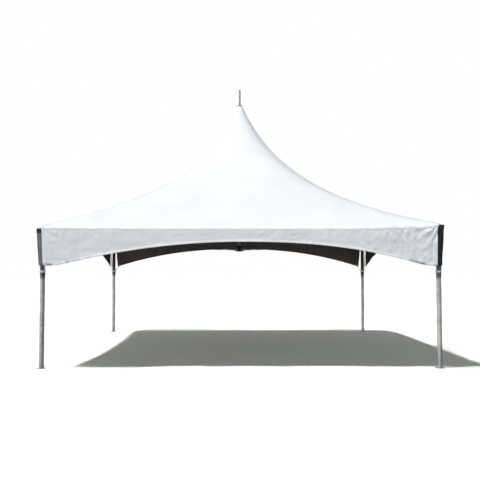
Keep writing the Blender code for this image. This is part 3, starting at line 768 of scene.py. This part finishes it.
def valance_fold(settings, x, z, half, share, seed, above):
    """How far a hanging valance stands out of its plane at a place."""
    below = max(2.090 - z, 0.0)
    held = min(below / 0.05, 1.0)
    # The cloth hangs calmer on the left than on the right, where the wind has worked it.
    calm = 0.5 + 0.5 * clamp((x + 0.9) / 1.6)
    # It comes out from behind the rim of the roof to hang flush with it.
    out = 0.0030 * min(below / 0.014, 1.0)
    corner = 0.0
    for side in (-1, 1):
        # Pulls run down and inwards from both top corners, where the strap holds the cloth.
        beside = max(half - side * x, 0.0)
        along = (beside + below) * 0.7071
        slant = (beside - below * 0.85) / max(along, 0.10)
        fade = math.exp(-((along / 0.24) ** 1.5)) * min(along / 0.06, 1.0)
        pull = 0.65 + 0.35 * side
        out += settings.pucker * pull * fade * math.cos(slant * 7.0 + side * 0.8 + seed)
        corner += bell(beside, 0.85)
        # Short slanting tucks lie close under the eave beside them.
        tuck = smooth_noise(beside * 15.0 - below * 9.0, below * 4.0 + beside * 2.0, seed + side)
        close = bell(beside, 0.60) * bell(below, 0.20)
        out += tuck * 0.0044 * pull * close * held
    # Small gathers hang from the sewn top edge and die out within a hand's breadth.
    gather = math.exp(-below / 0.06) * min(below / 0.012, 1.0)
    wander = 4.0 * smooth_noise(x * 2.2, seed, 0.0)
    out += (0.0012 + 0.0022 * corner) * gather * math.sin(x * 58.0 + wander)
    # Slanted tucks run down from the eave all along it, in patches.
    slanted = smooth_noise(x * 11.0 + math.copysign(below * 9.0, x), z * 2.0, seed + 8.0)
    patch = 0.4 + 1.4 * abs(smooth_noise(x * 0.8, seed, 1.0))
    out += slanted * 0.0040 * patch * bell(below, 0.16) * min(below / 0.02, 1.0)
    # Loose upright folds grow towards the free edge.
    loose = smooth_noise(x * 2.6 + seed * 7.0, z * 0.6, seed)
    finer = smooth_noise(x * 9.5, z * 2.2, seed + 4.0)
    grow = (0.3 + 0.7 * share) * min(below / 0.08, 1.0)
    out += (loose * 0.010 + finer * (0.0030 + 0.0012 * corner)) * grow * calm
    # Narrow upright streaks stand two fingers apart towards the ends.
    streak = smooth_noise(x * 19.0, z * 2.6, seed + 6.0)
    out += streak * (0.0008 + 0.0010 * corner) * held * calm
    # Creases from packing lie all over the cloth, deepest near the corners.
    crease = abs(smooth_noise(x * 9.0, z * 8.0, seed + 9.0))
    dimple = smooth_noise(x * 17.0, z * 14.0, seed + 5.0)
    patch = 0.5 + 1.2 * max(smooth_noise(x * 1.3, z * 1.3, seed + 2.0), 0.0)
    out += (crease * 0.0058 + dimple * 0.0013) * (patch + 0.9 * corner) * held * calm
    # The stiff double hem stands out a little, so its upper part catches the light.
    rise = clamp((0.040 - above) / 0.026)
    return out + 0.0052 * rise * rise * (3.0 - 2.0 * rise)


def rim_push(roof, place):
    """How far the rim of the roof is gathered up at a place."""
    _, _, across, side = nearest_eave(place.x, place.y)
    held = min(max(roof.eave_half - abs(across), 0.0) / 0.1, 1.0)
    return eave_gather(across, side) * held


def valance_half(settings, side, across, share):
    """Half the width of a valance; the front one reaches closer to the left corner."""
    half = settings.top_half * (1 - share) + LOW_HALVES[side] * share
    if side == "front" and across < 0.0:
        half += 0.036 * (1 - share) + 0.014 * share
    return half


def valance_place(settings, roof, side, across, share):
    """Point on the outer face of a valance, front side, from its share of width and depth."""
    low_half = valance_half(settings, side, across, 1.0)
    half = valance_half(settings, side, across, share)
    top = roof.eave_height - roof.edge_drop + 0.010
    bottom = roof.eave_height - valance_drop(settings, side, across * low_half)
    place = Vector((across * half, 0.0024 - roof.eave_half, top + (bottom - top) * share))
    turned = Matrix.Rotation(SIDES[side], 3, "Z") @ place
    push = rim_push(roof, turned)
    lifted = corner_rise(roof, turned.x, turned.y) - eave_dip(roof, place.x) + push
    seed = list(SIDES).index(side) + 1.0
    place.y -= valance_fold(settings, place.x, place.z, half, share, seed, place.z - bottom)
    place.y -= 0.3 * push * (1.0 - share) ** 2
    place.z += lifted * (1.0 - share)
    return place, top - bottom


def make_valance_cloth(settings, roof, side):
    """Bmesh of one valance, front side, with a folded hem along its arched edge."""
    bm = bmesh.new()
    bmesh.ops.create_grid(bm, x_segments=VALANCE_COLUMNS, y_segments=VALANCE_ROWS, size=1.0)
    rim = [e for e in bm.edges if e.is_boundary and all(v.co.y < -0.999 for v in e.verts)]
    uv = bm.loops.layers.uv.new("cloth")
    heights = {}
    for vert in bm.verts:
        # The mesh is finer towards the ends and the top, where the folds are small.
        across = 0.4 * vert.co.x + 0.6 * math.sin(vert.co.x * math.pi / 2)
        row = (1.0 - vert.co.y) / 2.0
        share = 0.55 * row + 0.45 * row * row * (3.0 - 2.0 * row)
        place, depth = valance_place(settings, roof, side, across, share)
        heights[vert] = (across * LOW_HALVES["front"], depth * (1.0 - share))
        vert.co = place
    # The hem turns inwards, is welded up behind, and follows every fold of the cloth.
    for inward, up in ((0.0042, 0.0012), (0.0036, settings.hem)):
        fresh, rim, hem_faces = grow_rim(bm, rim)
        for vert in fresh:
            low_half = valance_half(settings, side, vert.co.x, 1.0)
            across = max(min(vert.co.x / low_half, 1.0), -1.0)
            depth = valance_place(settings, roof, side, across, 1.0)[1]
            place = valance_place(settings, roof, side, across, 1.0 - up / depth)[0]
            vert.co = (vert.co.x, place.y + inward, place.z)
            heights[vert] = (across * LOW_HALVES["front"], up)
    for face in hem_faces:
        face.material_index = 1
    for face in bm.faces:
        for loop in face.loops:
            loop[uv].uv = heights[loop.vert]
    bm.normal_update()
    return bm


def add_strip(bm, low, high, along, cuts):
    """Add webbing between two corners, cut into lengths, with its weave laid out in the UV."""
    size = Vector(high) - Vector(low)
    older = set(bm.faces)
    made = bmesh.ops.create_cube(bm, size=1.0)
    bmesh.ops.scale(bm, vec=size, verts=made["verts"])
    bmesh.ops.translate(bm, vec=Vector(low) + size / 2, verts=made["verts"])
    edges = {e for v in made["verts"] for e in v.link_edges}
    long_edges = [e for e in edges if abs(e.verts[0].co[along] - e.verts[1].co[along]) > 1e-4]
    width = max((axis for axis in range(3) if axis != along), key=lambda axis: size[axis])
    bmesh.ops.subdivide_edges(bm, edges=long_edges, cuts=cuts, use_grid_fill=True)
    uv = bm.loops.layers.uv["weave"]
    for face in bm.faces:
        if face not in older:
            for loop in face.loops:
                loop[uv].uv = (loop.vert.co[width] - low[width], loop.vert.co[along])


def bend_band(verts, near, face, radius):
    """Bend a straight strip, laid along x, round the outside of a corner."""
    straight = face - radius - near
    bend = radius * math.pi / 2
    for vert in verts:
        run, out = vert.co.x, vert.co.y
        turn = min(max((run - straight) / radius, 0.0), math.pi / 2)
        before = min(run, straight)
        after = max(run - straight - bend, 0.0)
        vert.co.x = near + before + (radius + out) * math.sin(turn)
        vert.co.y = face - radius + (radius + out) * math.cos(turn) - after


def make_strap(settings, signs, top, stand_off, shift, lean):
    """Bmesh of the corner webbing: a band round the corner and two hanging tails."""
    bm = bmesh.new()
    bm.loops.layers.uv.new("weave")
    outer, thickness, band, turned_end, skin = 3.0742, 0.0026, 0.060, 0.045, 0.0003
    inner = outer - thickness
    near = settings.strap_start
    far = near + settings.strap_width
    end = settings.strap_end
    radius = 0.022
    face = outer + 0.0004
    whole = 2 * (face - radius - near) + radius * math.pi / 2
    add_strip(bm, (shift, 0.0, top - band), (whole, thickness, top), 0, 48)
    bend_band(bm.verts, near, face, radius)
    uv = bm.loops.layers.uv["weave"]
    for corner in [loop for part in bm.faces for loop in part.loops]:
        corner[uv].uv.y += 3.0
    add_strip(bm, (near + shift, inner, end), (far + shift, outer, top - 0.002), 2, 44)
    add_strip(bm, (inner, near, end), (outer, far, top - 0.002), 2, 44)
    # The free ends are turned back and sewn.
    turned_top = end + turned_end
    add_strip(bm, (near + shift + 0.001, outer + skin, end),
              (far + shift - 0.001, outer + thickness, turned_top), 2, 4)
    add_strip(bm, (outer + skin, near + 0.001, end),
              (outer + thickness, far - 0.001, turned_top), 2, 4)
    sharp = [e for e in bm.edges if e.calc_face_angle(0.0) > 1.2]
    bmesh.ops.bevel(bm, geom=sharp, offset=0.0008, segments=2, affect="EDGES", profile=0.5,
                    material=-1)
    tail_top = top - 0.075
    for vert in bm.verts:
        down = max(tail_top - vert.co.z, 0.0)
        share = min(down / (tail_top - end), 1.0)
        free = min(down / 0.12, 1.0)
        # A tail hangs clear of the cloth, leans in to the leg and turns a little as it goes.
        across = (min(vert.co.x, vert.co.y) - near) / settings.strap_width - 0.5
        wave = 0.0035 * abs(math.sin(down * 13.0 + signs[0])) * free * (1.0 - share)
        turn = 0.0070 * across * math.sin(down * 9.0 + signs[1]) * free * (1.0 - share)
        sway = 0.0045 * math.sin(down * 17.0 + 2.0 * signs[0]) * free * (1.0 - 0.7 * share)
        axis = 1 if vert.co.y > vert.co.x else 0
        if down > 0.0:
            vert.co[axis] += wave + turn - (0.0240 + 0.5 * lean * (1 - axis)) * share
            vert.co[1 - axis] -= (0.0095 + (0.7 * shift + lean) * axis) * share + sway
        vert.co.x += stand_off * (1.0 - share)
    bmesh.ops.scale(bm, vec=(signs[0], signs[1], 1), verts=bm.verts)
    bmesh.ops.recalc_face_normals(bm, faces=bm.faces)
    return bm


def add_tube(bm, points, radius, sides, flute=0.0, twist=0.0):
    """Sweep a round or fluted section along points and lay it out in the UV."""
    turn_layer = bm.verts.layers.float.get("turn") or bm.verts.layers.float.new("turn")
    length_layer = bm.verts.layers.float.get("length") or bm.verts.layers.float.new("length")
    made = bmesh.ops.create_circle(bm, cap_ends=False, segments=sides, radius=radius)
    heading = (points[1] - points[0]).normalized()
    for index, vert in enumerate(made["verts"]):
        vert[turn_layer] = (math.atan2(vert.co.y, vert.co.x) / math.tau) % 1.0
        if index % 2:
            vert.co *= 1.0 - flute
    turn = heading.to_track_quat("Z", "Y").to_matrix().to_4x4()
    bmesh.ops.transform(bm, matrix=Matrix.Translation(points[0]) @ turn, verts=made["verts"])
    rim = list({e for v in made["verts"] for e in v.link_edges})
    ends = list(rim)
    faces = []
    run = 0.0
    for index in range(1, len(points)):
        here = points[index]
        step = here - points[index - 1]
        run += step.length
        fresh, rim, fresh_faces = grow_rim(bm, rim)
        faces += fresh_faces
        following = points[min(index + 1, len(points) - 1)] - points[index - 1]
        bend = heading.rotation_difference(following.normalized())
        heading = following.normalized()
        roll = Matrix.Rotation(twist * step.length, 4, heading)
        matrix = (Matrix.Translation(here) @ roll @ bend.to_matrix().to_4x4()
                  @ Matrix.Translation(-points[index - 1]))
        bmesh.ops.transform(bm, matrix=matrix, verts=list(fresh))
        for vert in fresh:
            vert[length_layer] = run
    bmesh.ops.holes_fill(bm, edges=ends + rim, sides=0)
    uv = bm.loops.layers.uv.verify()
    for face in faces:
        turns = [loop.vert[turn_layer] for loop in face.loops]
        for loop in face.loops:
            around = loop.vert[turn_layer]
            around += 1.0 if max(turns) - around > 0.5 else 0.0
            loop[uv].uv = (around, loop.vert[length_layer])


def add_eyelet(bm, place):
    """Add a pressed metal ring that lines a hole in the front cloth, and return its faces."""
    older = set(bm.faces)
    rim_radius, middle_radius = 0.0027, 0.0092
    ring = bmesh.ops.create_circle(bm, cap_ends=False, segments=8, radius=rim_radius)
    bmesh.ops.scale(bm, vec=(1.25, 0.85, 1.0), verts=ring["verts"])
    bmesh.ops.rotate(bm, cent=(0, 0, 0), matrix=Matrix.Rotation(math.pi / 2, 3, "X"),
                     verts=ring["verts"])
    bmesh.ops.translate(bm, vec=(middle_radius, 0.0, 0.0), verts=ring["verts"])
    edges = list({e for v in ring["verts"] for e in v.link_edges})
    bmesh.ops.spin(bm, geom=ring["verts"] + edges, cent=(0, 0, 0), axis=(0, 0, 1),
                   angle=math.tau, steps=20, use_merge=True)
    faces = [f for f in bm.faces if f not in older]
    turn = Matrix.Rotation(math.pi / 2, 4, "X")
    bmesh.ops.transform(bm, matrix=Matrix.Translation(place) @ turn,
                        verts=list({v for f in faces for v in f.verts}))
    return faces


def make_ties(settings, valance, roof, name):
    """Bmesh of the cords of one corner: a strained loop from each valance, wound on the leg."""
    bm = bmesh.new()
    bm.loops.layers.uv.new("plait")
    placed = bm.verts.layers.int.new("placed")
    radius = settings.cord_radius
    wrap = CORD_SEAT + radius
    for side, end in CORNER_ENDS[name]:
        hole_across, hole_down, edge_across = end * 0.982, 0.925, end * 0.989
        hole = valance_place(valance, roof, side, hole_across, hole_down)[0]
        edge = valance_place(valance, roof, side, edge_across, 1.0)[0]
        leg = Vector((LEG_OFFSET * end, -LEG_OFFSET, settings.tie_height))
        turn = Matrix.Rotation(SIDES[side], 4, "Z")
        for face in add_eyelet(bm, hole + Vector((0, 0.0008, 0))):
            face.material_index = 1
        for strand in (-1, 1):
            shift = Vector((0.0033 * strand, 0, 0.0012 * strand))
            goal = leg + Vector((-0.0300 * end, -0.0305, 0.0030 + 0.0045 * strand))
            front = hole + shift + Vector((0, -0.0060, -0.0035))
            over = edge + shift + Vector((0, -0.0058, 0.0))
            points = [hole + shift + Vector((0, 0.0100, 0.001)), hole + shift,
                      hole + shift + Vector((0, -0.0048, -0.0006)), front,
                      front.lerp(over, 0.5), over]
            points += [over.lerp(goal, step / 6) for step in range(1, 7)]
            add_tube(bm, points, radius, 8)
        # The ends are knotted behind the cloth.
        knot = bmesh.ops.create_icosphere(bm, subdivisions=2, radius=0.0085)
        bmesh.ops.scale(bm, vec=(1.3, 0.8, 1.0), verts=knot["verts"])
        for vert in knot["verts"]:
            vert.co *= 1.0 + 0.12 * math.sin(vert.co.x * 900 + vert.co.z * 500)
        bmesh.ops.translate(bm, vec=hole + Vector((0, 0.0110, 0)), verts=knot["verts"])
        fresh = [v for v in bm.verts if not v[placed]]
        bmesh.ops.transform(bm, matrix=turn, verts=fresh)
        for vert in fresh:
            vert[placed] = 1
    leg = Vector((*(LEG_OFFSET * sign for sign in CORNERS[name]), settings.tie_height))
    points = []
    # Four turns, each a little over a cord's width above the last.
    turn_steps, all_steps = 28, 4 * 28
    for step in range(all_steps + 1):
        turn = math.tau * step / turn_steps
        lift = (step / all_steps - 0.5) * radius * 8.2
        points.append(leg + Vector((wrap * math.cos(turn), wrap * math.sin(turn), lift)))
    add_tube(bm, points, radius, 8)
    bmesh.ops.recalc_face_normals(bm, faces=bm.faces)
    return bm


def cable_point(signs, reach):
    """Point on the axis of the cable to one corner, at a distance from the mast's axis."""
    (near, low), (far, high) = FOOT_PIN, EYE_PIN
    point = Vector((signs[0], signs[1], 0)).normalized() * reach
    point.z = low + (high - low) * (reach - near) / (far - near)
    return point


def make_strands(start, end):
    """Bmesh of the six outer strands of one cable, laid over its core."""
    bm = bmesh.new()
    bm.loops.layers.uv.new("strand")
    # The strands go once round the core every 110 mm.
    steps, radius, groove, lay = 260, 0.0060, 0.14, 0.11
    points = [start.lerp(end, step / steps) for step in range(steps + 1)]
    add_tube(bm, points, radius, 12, flute=groove, twist=math.tau / lay)
    bmesh.ops.recalc_face_normals(bm, faces=bm.faces)
    return bm


def add_bolt(bm, place, direction, radius, head, sides=6):
    """Add a bolt head with a washer, facing along a direction."""
    turn = Vector(direction).to_track_quat("Z", "Y").to_matrix().to_4x4()
    washer = bmesh.ops.create_cone(bm, cap_ends=True, segments=20, radius1=radius * 1.5,
                                   radius2=radius * 1.45, depth=0.0016)
    bmesh.ops.translate(bm, vec=(0, 0, 0.0008), verts=washer["verts"])
    cap = bmesh.ops.create_cone(bm, cap_ends=True, segments=sides, radius1=radius,
                                radius2=radius * 0.94, depth=head)
    bmesh.ops.translate(bm, vec=(0, 0, 0.0018 + head / 2), verts=cap["verts"])
    bmesh.ops.transform(bm, matrix=Matrix.Translation(Vector(place)) @ turn,
                        verts=washer["verts"] + cap["verts"])


def make_fasteners():
    """Bmesh of every pin and bolt of the frame."""
    bm = bmesh.new()
    for signs in CORNERS.values():
        inward = Vector((-signs[0], -signs[1], 0)).normalized()
        across = Vector((-inward.y, inward.x, 0))
        leg = Vector((*(LEG_OFFSET * sign for sign in signs), 0.0))
        # Clevis pins through the cable forks.
        for reach, height in (EYE_PIN, FOOT_PIN):
            pin = -inward * reach + Vector((0, 0, height))
            for side in (-1, 1):
                add_bolt(bm, pin + across * side * 0.0131, across * side, 0.0085, 0.0045, 16)
        # Bolts that lock the fitting to the leg, the leg to its foot, and the beams.
        for direction in (Vector((-signs[0], 0, 0)), Vector((0, -signs[1], 0))):
            for height, radius in ((1.985, 0.0446), (0.045, 0.0382)):
                place = leg + direction * radius + Vector((0, 0, height))
                add_bolt(bm, place, direction, 0.0075, 0.005)
            for reach in (0.130, 0.200):
                place = leg + direction * reach + Vector((0, 0, BEAM_UNDERSIDE))
                add_bolt(bm, place, (0, 0, -1), 0.0070, 0.0045)
    bmesh.ops.recalc_face_normals(bm, faces=bm.faces)
    return bm


# Operators


class MARQUEE_OT_roof(bpy.types.Operator):
    """Make the stretched roof cloth in place of the four roof panels"""

    bl_idname = "marquee.roof"
    bl_label = "Roof cloth"

    def execute(self, context):
        settings = context.scene.marquee_roof
        bm = make_roof_cloth(settings)
        area = sheet_area(bm)
        outside = coated_cloth("coated_cloth_roof", settings.outside, True)
        inside = backing_cloth(settings.inside)
        piece = finish_piece("roof_cloth", bm, [outside, inside])
        thicken(piece, settings.thickness)
        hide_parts(*[f"roof_panel_{side}" for side in SIDES])
        return {"FINISHED"}


class MARQUEE_OT_valances(bpy.types.Operator):
    """Make the four arched valances with their folds and hems"""

    bl_idname = "marquee.valances"
    bl_label = "Valances"

    def execute(self, context):
        roof = context.scene.marquee_roof
        settings = context.scene.marquee_valance
        outside = coated_cloth("coated_cloth_valance", roof.outside, False)
        inside = bpy.data.materials["shade_dark_backing"]
        for side, turn in SIDES.items():
            bm = make_valance_cloth(settings, roof, side)
            area = sheet_area(bm)
            bmesh.ops.rotate(bm, cent=(0, 0, 0), matrix=Matrix.Rotation(turn, 3, "Z"),
                             verts=bm.verts)
            piece = finish_piece(f"valance_cloth_{side}", bm, [outside, inside])
            thicken(piece, roof.thickness)
            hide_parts(f"valance_{side}")
        return {"FINISHED"}


class MARQUEE_OT_straps(bpy.types.Operator):
    """Make the black webbing at the four corners"""

    bl_idname = "marquee.straps"
    bl_label = "Corner straps"

    def execute(self, context):
        settings = context.scene.marquee_trim
        black = polyester_webbing("polyester_webbing", settings.webbing, settings.webbing)
        # The front left webbing is painted grey below the eave as painted sunlight, and black
        # under the eave as painted shade.
        sunlit_webbing = polyester_webbing("sunlit_polyester_webbing", settings.webbing, settings.sunlit_webbing)
        lift = context.scene.marquee_roof.corner_lift
        for name, signs in CORNERS.items():
            # The webbing is drawn right up to the eave on the front right corner alone, where
            # its end leans in; on the front left corner it has come loose.
            top, lean = (2.128 + lift, 0.018) if name == "front_right" else (2.100, 0.0)
            stand_off, shift = (0.008, 0.018) if name == "front_left" else (0.0, 0.0)
            bm = make_strap(settings, signs, top, stand_off, shift, lean)
            piece = finish_piece(f"strap_webbing_{name}", bm,
                                 [sunlit_webbing if name == "front_left" else black],
                                 smooth=False)
            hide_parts(f"corner_strap_{name}")
        return {"FINISHED"}


class MARQUEE_OT_ties(bpy.types.Operator):
    """Tie the valance corners to the legs with pale cord"""

    bl_idname = "marquee.ties"
    bl_label = "Valance ties"

    def execute(self, context):
        settings = context.scene.marquee_trim
        valance = context.scene.marquee_valance
        roof = context.scene.marquee_roof
        finishes = [braided_cord(settings.cord), nickel_plate(settings.eyelet)]
        for name in CORNERS:
            bm = make_ties(settings, valance, roof, name)
            piece = finish_piece(f"valance_cord_{name}", bm, finishes)
            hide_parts(f"valance_tie_{name}")
        return {"FINISHED"}


class MARQUEE_OT_metalwork(bpy.types.Operator):
    """Give every metal node its finish and add the pins and bolts"""

    bl_idname = "marquee.metalwork"
    bl_label = "Metalwork"

    def execute(self, context):
        settings = context.scene.marquee_metal
        finishes = {
            "leg_": drawn_aluminium("drawn_aluminium_upright", settings.tube, (900, 900, 2),
                                    upright=True),
            # The beams take the beam grey, which is painted shade.
            "eave_beam_x": drawn_aluminium("drawn_aluminium_across", settings.beam,
                                           (2, 900, 900)),
            "eave_beam_y": drawn_aluminium("drawn_aluminium_along", settings.beam,
                                           (900, 2, 900)),
            "corner_fitting_": sand_cast_aluminium("sand_cast_aluminium", settings.casting),
            "mast_tube": drawn_aluminium("drawn_aluminium_mast", settings.tube, (900, 900, 2)),
            "mast_foot": sand_cast_aluminium("dark_cast_aluminium", settings.foot,
                                             lugs=True),
            "base_plate_": galvanised_steel(settings.steel),
            "cable_": wire_rope(settings.cable),
            "mast_spike": anodised_aluminium(settings.spike),
        }
        finishes["mast_crown"] = finishes["peak_cap"] = finishes["corner_fitting_"]
        finishes["eave_beam_front"] = finishes["eave_beam_rear"] = finishes["eave_beam_x"]
        finishes["eave_beam_left"] = finishes["eave_beam_right"] = finishes["eave_beam_y"]
        for name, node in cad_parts.items():
            for key, finish in finishes.items():
                if name.startswith(key):
                    node.data.materials.clear()
                    node.data.materials.append(finish)
        for name, signs in CORNERS.items():
            ends = [cable_point(signs, reach) for reach in STRAND_ENDS]
            finish_piece(f"cable_strands_{name}", make_strands(*ends), [finishes["cable_"]])
        finish_piece("frame_fasteners", make_fasteners(), [zinc_plate(settings.zinc)],
                     smooth=False)
        return {"FINISHED"}


def choose_receiver(lamp, floor, state):
    """Let a lamp light the floor alone, or everything but the floor."""
    group = bpy.data.collections.new(f"{lamp.name}_receivers")
    group.objects.link(floor)
    group.collection_objects[0].light_linking.link_state = state
    lamp.light_linking.receiver_collection = group


def add_floor(paint):
    """Add the pale floor, 1 mm under the feet."""
    bm = bmesh.new()
    bmesh.ops.create_grid(bm, x_segments=8, y_segments=8, size=120.0)
    bmesh.ops.translate(bm, vec=(0, 0, -0.001), verts=bm.verts)
    mesh = bpy.data.meshes.new("studio_floor")
    bm.to_mesh(mesh)
    bm.free()
    mesh.materials.append(studio_floor(paint))
    floor = bpy.data.objects.new("studio_floor", mesh)
    bpy.context.scene.collection.objects.link(floor)
    # The tent takes no light from the white floor, which would flatten the tubes and light the
    # cloth from below.
    floor.visible_glossy = False
    floor.visible_diffuse = False
    return floor


def add_sun(name, strength, shade, toward=None, spread=None):
    """Add a distant lamp that stands in a direction, as wide as its spread in degrees."""
    light = bpy.data.lights.new(name, "SUN")
    light.energy = strength
    light.color = shade
    if spread:
        light.angle = math.radians(spread)
    lamp = bpy.data.objects.new(name, light)
    if toward:
        lamp.rotation_euler = Vector(toward).to_track_quat("Z", "Y").to_euler()
    bpy.context.scene.collection.objects.link(lamp)
    return lamp


def add_lamps(settings, floor):
    """Add the key light and the soft lights."""
    key_way, key_shade, key_spread = (-0.317, -0.135, 0.94), (1.0, 0.995, 0.985), 2.5
    add_sun("key_light", settings.sun, key_shade, key_way, key_spread)
    # The same light once more on the floor alone keeps the paper white.
    again = add_sun("floor_light", settings.floor_sun, key_shade, key_way, key_spread)
    choose_receiver(again, floor, "INCLUDE")
    # A soft light from the left models the round tubes.
    beside = add_sun("side_light", settings.side, (1.0, 1.0, 1.0), (-0.88, -0.20, 0.43), 26.0)
    choose_receiver(beside, floor, "EXCLUDE")
    # A large soft light in front fills the cloth; bare metal does not mirror it.
    before = add_sun("front_light", settings.front, (0.95, 0.98, 1.0), (-0.05, -0.985, 0.16),
                     100.0)
    before.visible_glossy = False
    choose_receiver(before, floor, "EXCLUDE")
    # A weak light from straight above, which the tent doesn't block, keeps the shaded floor even.
    above = add_sun("top_light", settings.top, linear("#F7FFEF"))
    choose_receiver(above, floor, "INCLUDE")
    above.light_linking.blocker_collection = above.light_linking.receiver_collection


def make_surround(settings):
    """World: soft fill, a screen and flags for what metal mirrors, white paper for the camera."""
    world = bpy.data.worlds.new("white_surround")
    world.use_nodes = True
    tree = world.node_tree
    tree.nodes.clear()
    # The surround is weaker in front and on the lit side, and fades overhead and low down.
    way = add_node(tree, "ShaderNodeTexCoord")
    toward = add_node(tree, "ShaderNodeVectorMath",
                      {"operation": "DOT_PRODUCT", 1: (-0.55, -0.83, 0.0)},
                      {0: way.outputs["Generated"]})
    fall = add_node(tree, "ShaderNodeMapRange",
                    {"From Min": -0.60, "From Max": 0.85, "To Min": settings.fill_right,
                     "To Max": settings.fill_left}, {"Value": toward.outputs["Value"]})
    split = add_node(tree, "ShaderNodeSeparateXYZ", None, {"Vector": way.outputs["Generated"]})
    low = add_node(tree, "ShaderNodeMapRange",
                   {"From Min": -0.30, "From Max": 0.30, "To Min": settings.fill_low,
                    "To Max": 1.0}, {"Value": split.outputs["Z"]})
    high = add_node(tree, "ShaderNodeMapRange",
                    {"From Min": 0.25, "From Max": 0.75, "To Min": 1.0, "To Max": 0.25},
                    {"Value": split.outputs["Z"]})
    band = add_node(tree, "ShaderNodeMath", {"operation": "MULTIPLY"},
                    {0: low.outputs["Result"], 1: high.outputs["Result"]})
    both = add_node(tree, "ShaderNodeMath", {"operation": "MULTIPLY"},
                    {0: fall.outputs["Result"], 1: band.outputs["Value"]})
    cool = (0.95, 0.98, 1.0, 1.0)
    soft = add_node(tree, "ShaderNodeBackground", {"Color": cool},
                    {"Strength": both.outputs["Value"]})
    # The metal mirrors a bright screen on the left, above the horizon, and dark flags.
    wide = add_node(tree, "ShaderNodeMapRange",
                    {"From Min": -0.58, "From Max": -0.24, "To Min": settings.screen,
                     "To Max": 0.0}, {"Value": split.outputs["X"]})
    tall = add_node(tree, "ShaderNodeMapRange", {"From Min": 0.08, "From Max": 0.34},
                    {"Value": split.outputs["Z"]})
    screen = add_node(tree, "ShaderNodeMath", {"operation": "MULTIPLY_ADD", 2: settings.mirrored},
                      {0: wide.outputs["Result"], 1: tall.outputs["Result"]})
    flag = add_node(tree, "ShaderNodeBackground", {"Color": cool},
                    {"Strength": screen.outputs["Value"]})
    paper = add_node(tree, "ShaderNodeBackground", {"Color": (1.0, 1.0, 1.0, 1.0),
                                                    "Strength": 1.0})
    seen = add_node(tree, "ShaderNodeLightPath")
    sky = add_node(tree, "ShaderNodeMixShader", None,
                   {0: seen.outputs["Is Glossy Ray"], 1: soft.outputs[0], 2: flag.outputs[0]})
    mix = add_node(tree, "ShaderNodeMixShader", None,
                   {0: seen.outputs["Is Camera Ray"], 1: sky.outputs[0], 2: paper.outputs[0]})
    add_node(tree, "ShaderNodeOutputWorld", None, {"Surface": mix.outputs[0]})
    return world


def make_camera(settings):
    """Camera of the photo: in front, under eye level, tilted up a little."""
    data = bpy.data.cameras.new("camera")
    data.lens = settings.lens
    data.sensor_width = 36.0
    data.clip_end = 500.0
    camera = bpy.data.objects.new("camera", data)
    camera.location = (settings.camera_side, -settings.camera_back, settings.camera_height)
    tilt_up, turn = 2.59, -0.56
    camera.rotation_euler = (math.radians(90.0 + tilt_up), 0.0, math.radians(turn))
    bpy.context.scene.collection.objects.link(camera)
    return camera


class MARQUEE_OT_stage(bpy.types.Operator):
    """Set the pale floor, the soft light and the camera"""

    bl_idname = "marquee.stage"
    bl_label = "Stage"

    def execute(self, context):
        settings = context.scene.marquee_stage
        floor = add_floor(settings.floor)
        add_lamps(settings, floor)
        context.scene.world = make_surround(settings)
        context.scene.view_settings.view_transform = "Standard"
        context.scene.camera = make_camera(settings)
        return {"FINISHED"}


class MARQUEE_PT_panel(bpy.types.Panel):
    """Lists the settings and the steps in their order"""

    bl_idname = "MARQUEE_PT_panel"
    bl_label = "Marquee"
    bl_space_type = "VIEW_3D"
    bl_region_type = "UI"
    bl_category = "Marquee"

    def draw(self, context):
        for step in STEPS:
            self.layout.operator(f"marquee.{step}")
        for group in GROUPS:
            settings = getattr(context.scene, f"marquee_{group}")
            box = self.layout.box()
            box.label(text=group.capitalize())
            for name in settings.bl_rna.properties.keys():
                if name not in ("rna_type", "name"):
                    box.prop(settings, name)


STEPS = ("stage", "roof", "valances", "straps", "ties", "metalwork")
GROUPS = {
    "roof": MarqueeRoof,
    "valance": MarqueeValance,
    "trim": MarqueeTrim,
    "metal": MarqueeMetal,
    "stage": MarqueeStage,
}
CLASSES = (
    *GROUPS.values(),
    MARQUEE_OT_roof,
    MARQUEE_OT_valances,
    MARQUEE_OT_straps,
    MARQUEE_OT_ties,
    MARQUEE_OT_metalwork,
    MARQUEE_OT_stage,
    MARQUEE_PT_panel,
)


def register():
    """Register the classes and hang the settings on the scene."""
    for cls in CLASSES:
        bpy.utils.register_class(cls)
    for name, group in GROUPS.items():
        setattr(bpy.types.Scene, f"marquee_{name}", PointerProperty(type=group))


def unregister():
    """Take the settings and the classes away again."""
    for name in GROUPS:
        delattr(bpy.types.Scene, f"marquee_{name}")
    for cls in reversed(CLASSES):
        bpy.utils.unregister_class(cls)


def main():
    """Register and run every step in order."""
    register()
    for step in STEPS:
        getattr(bpy.ops.marquee, step)()


if __name__ == "__main__":
    main()
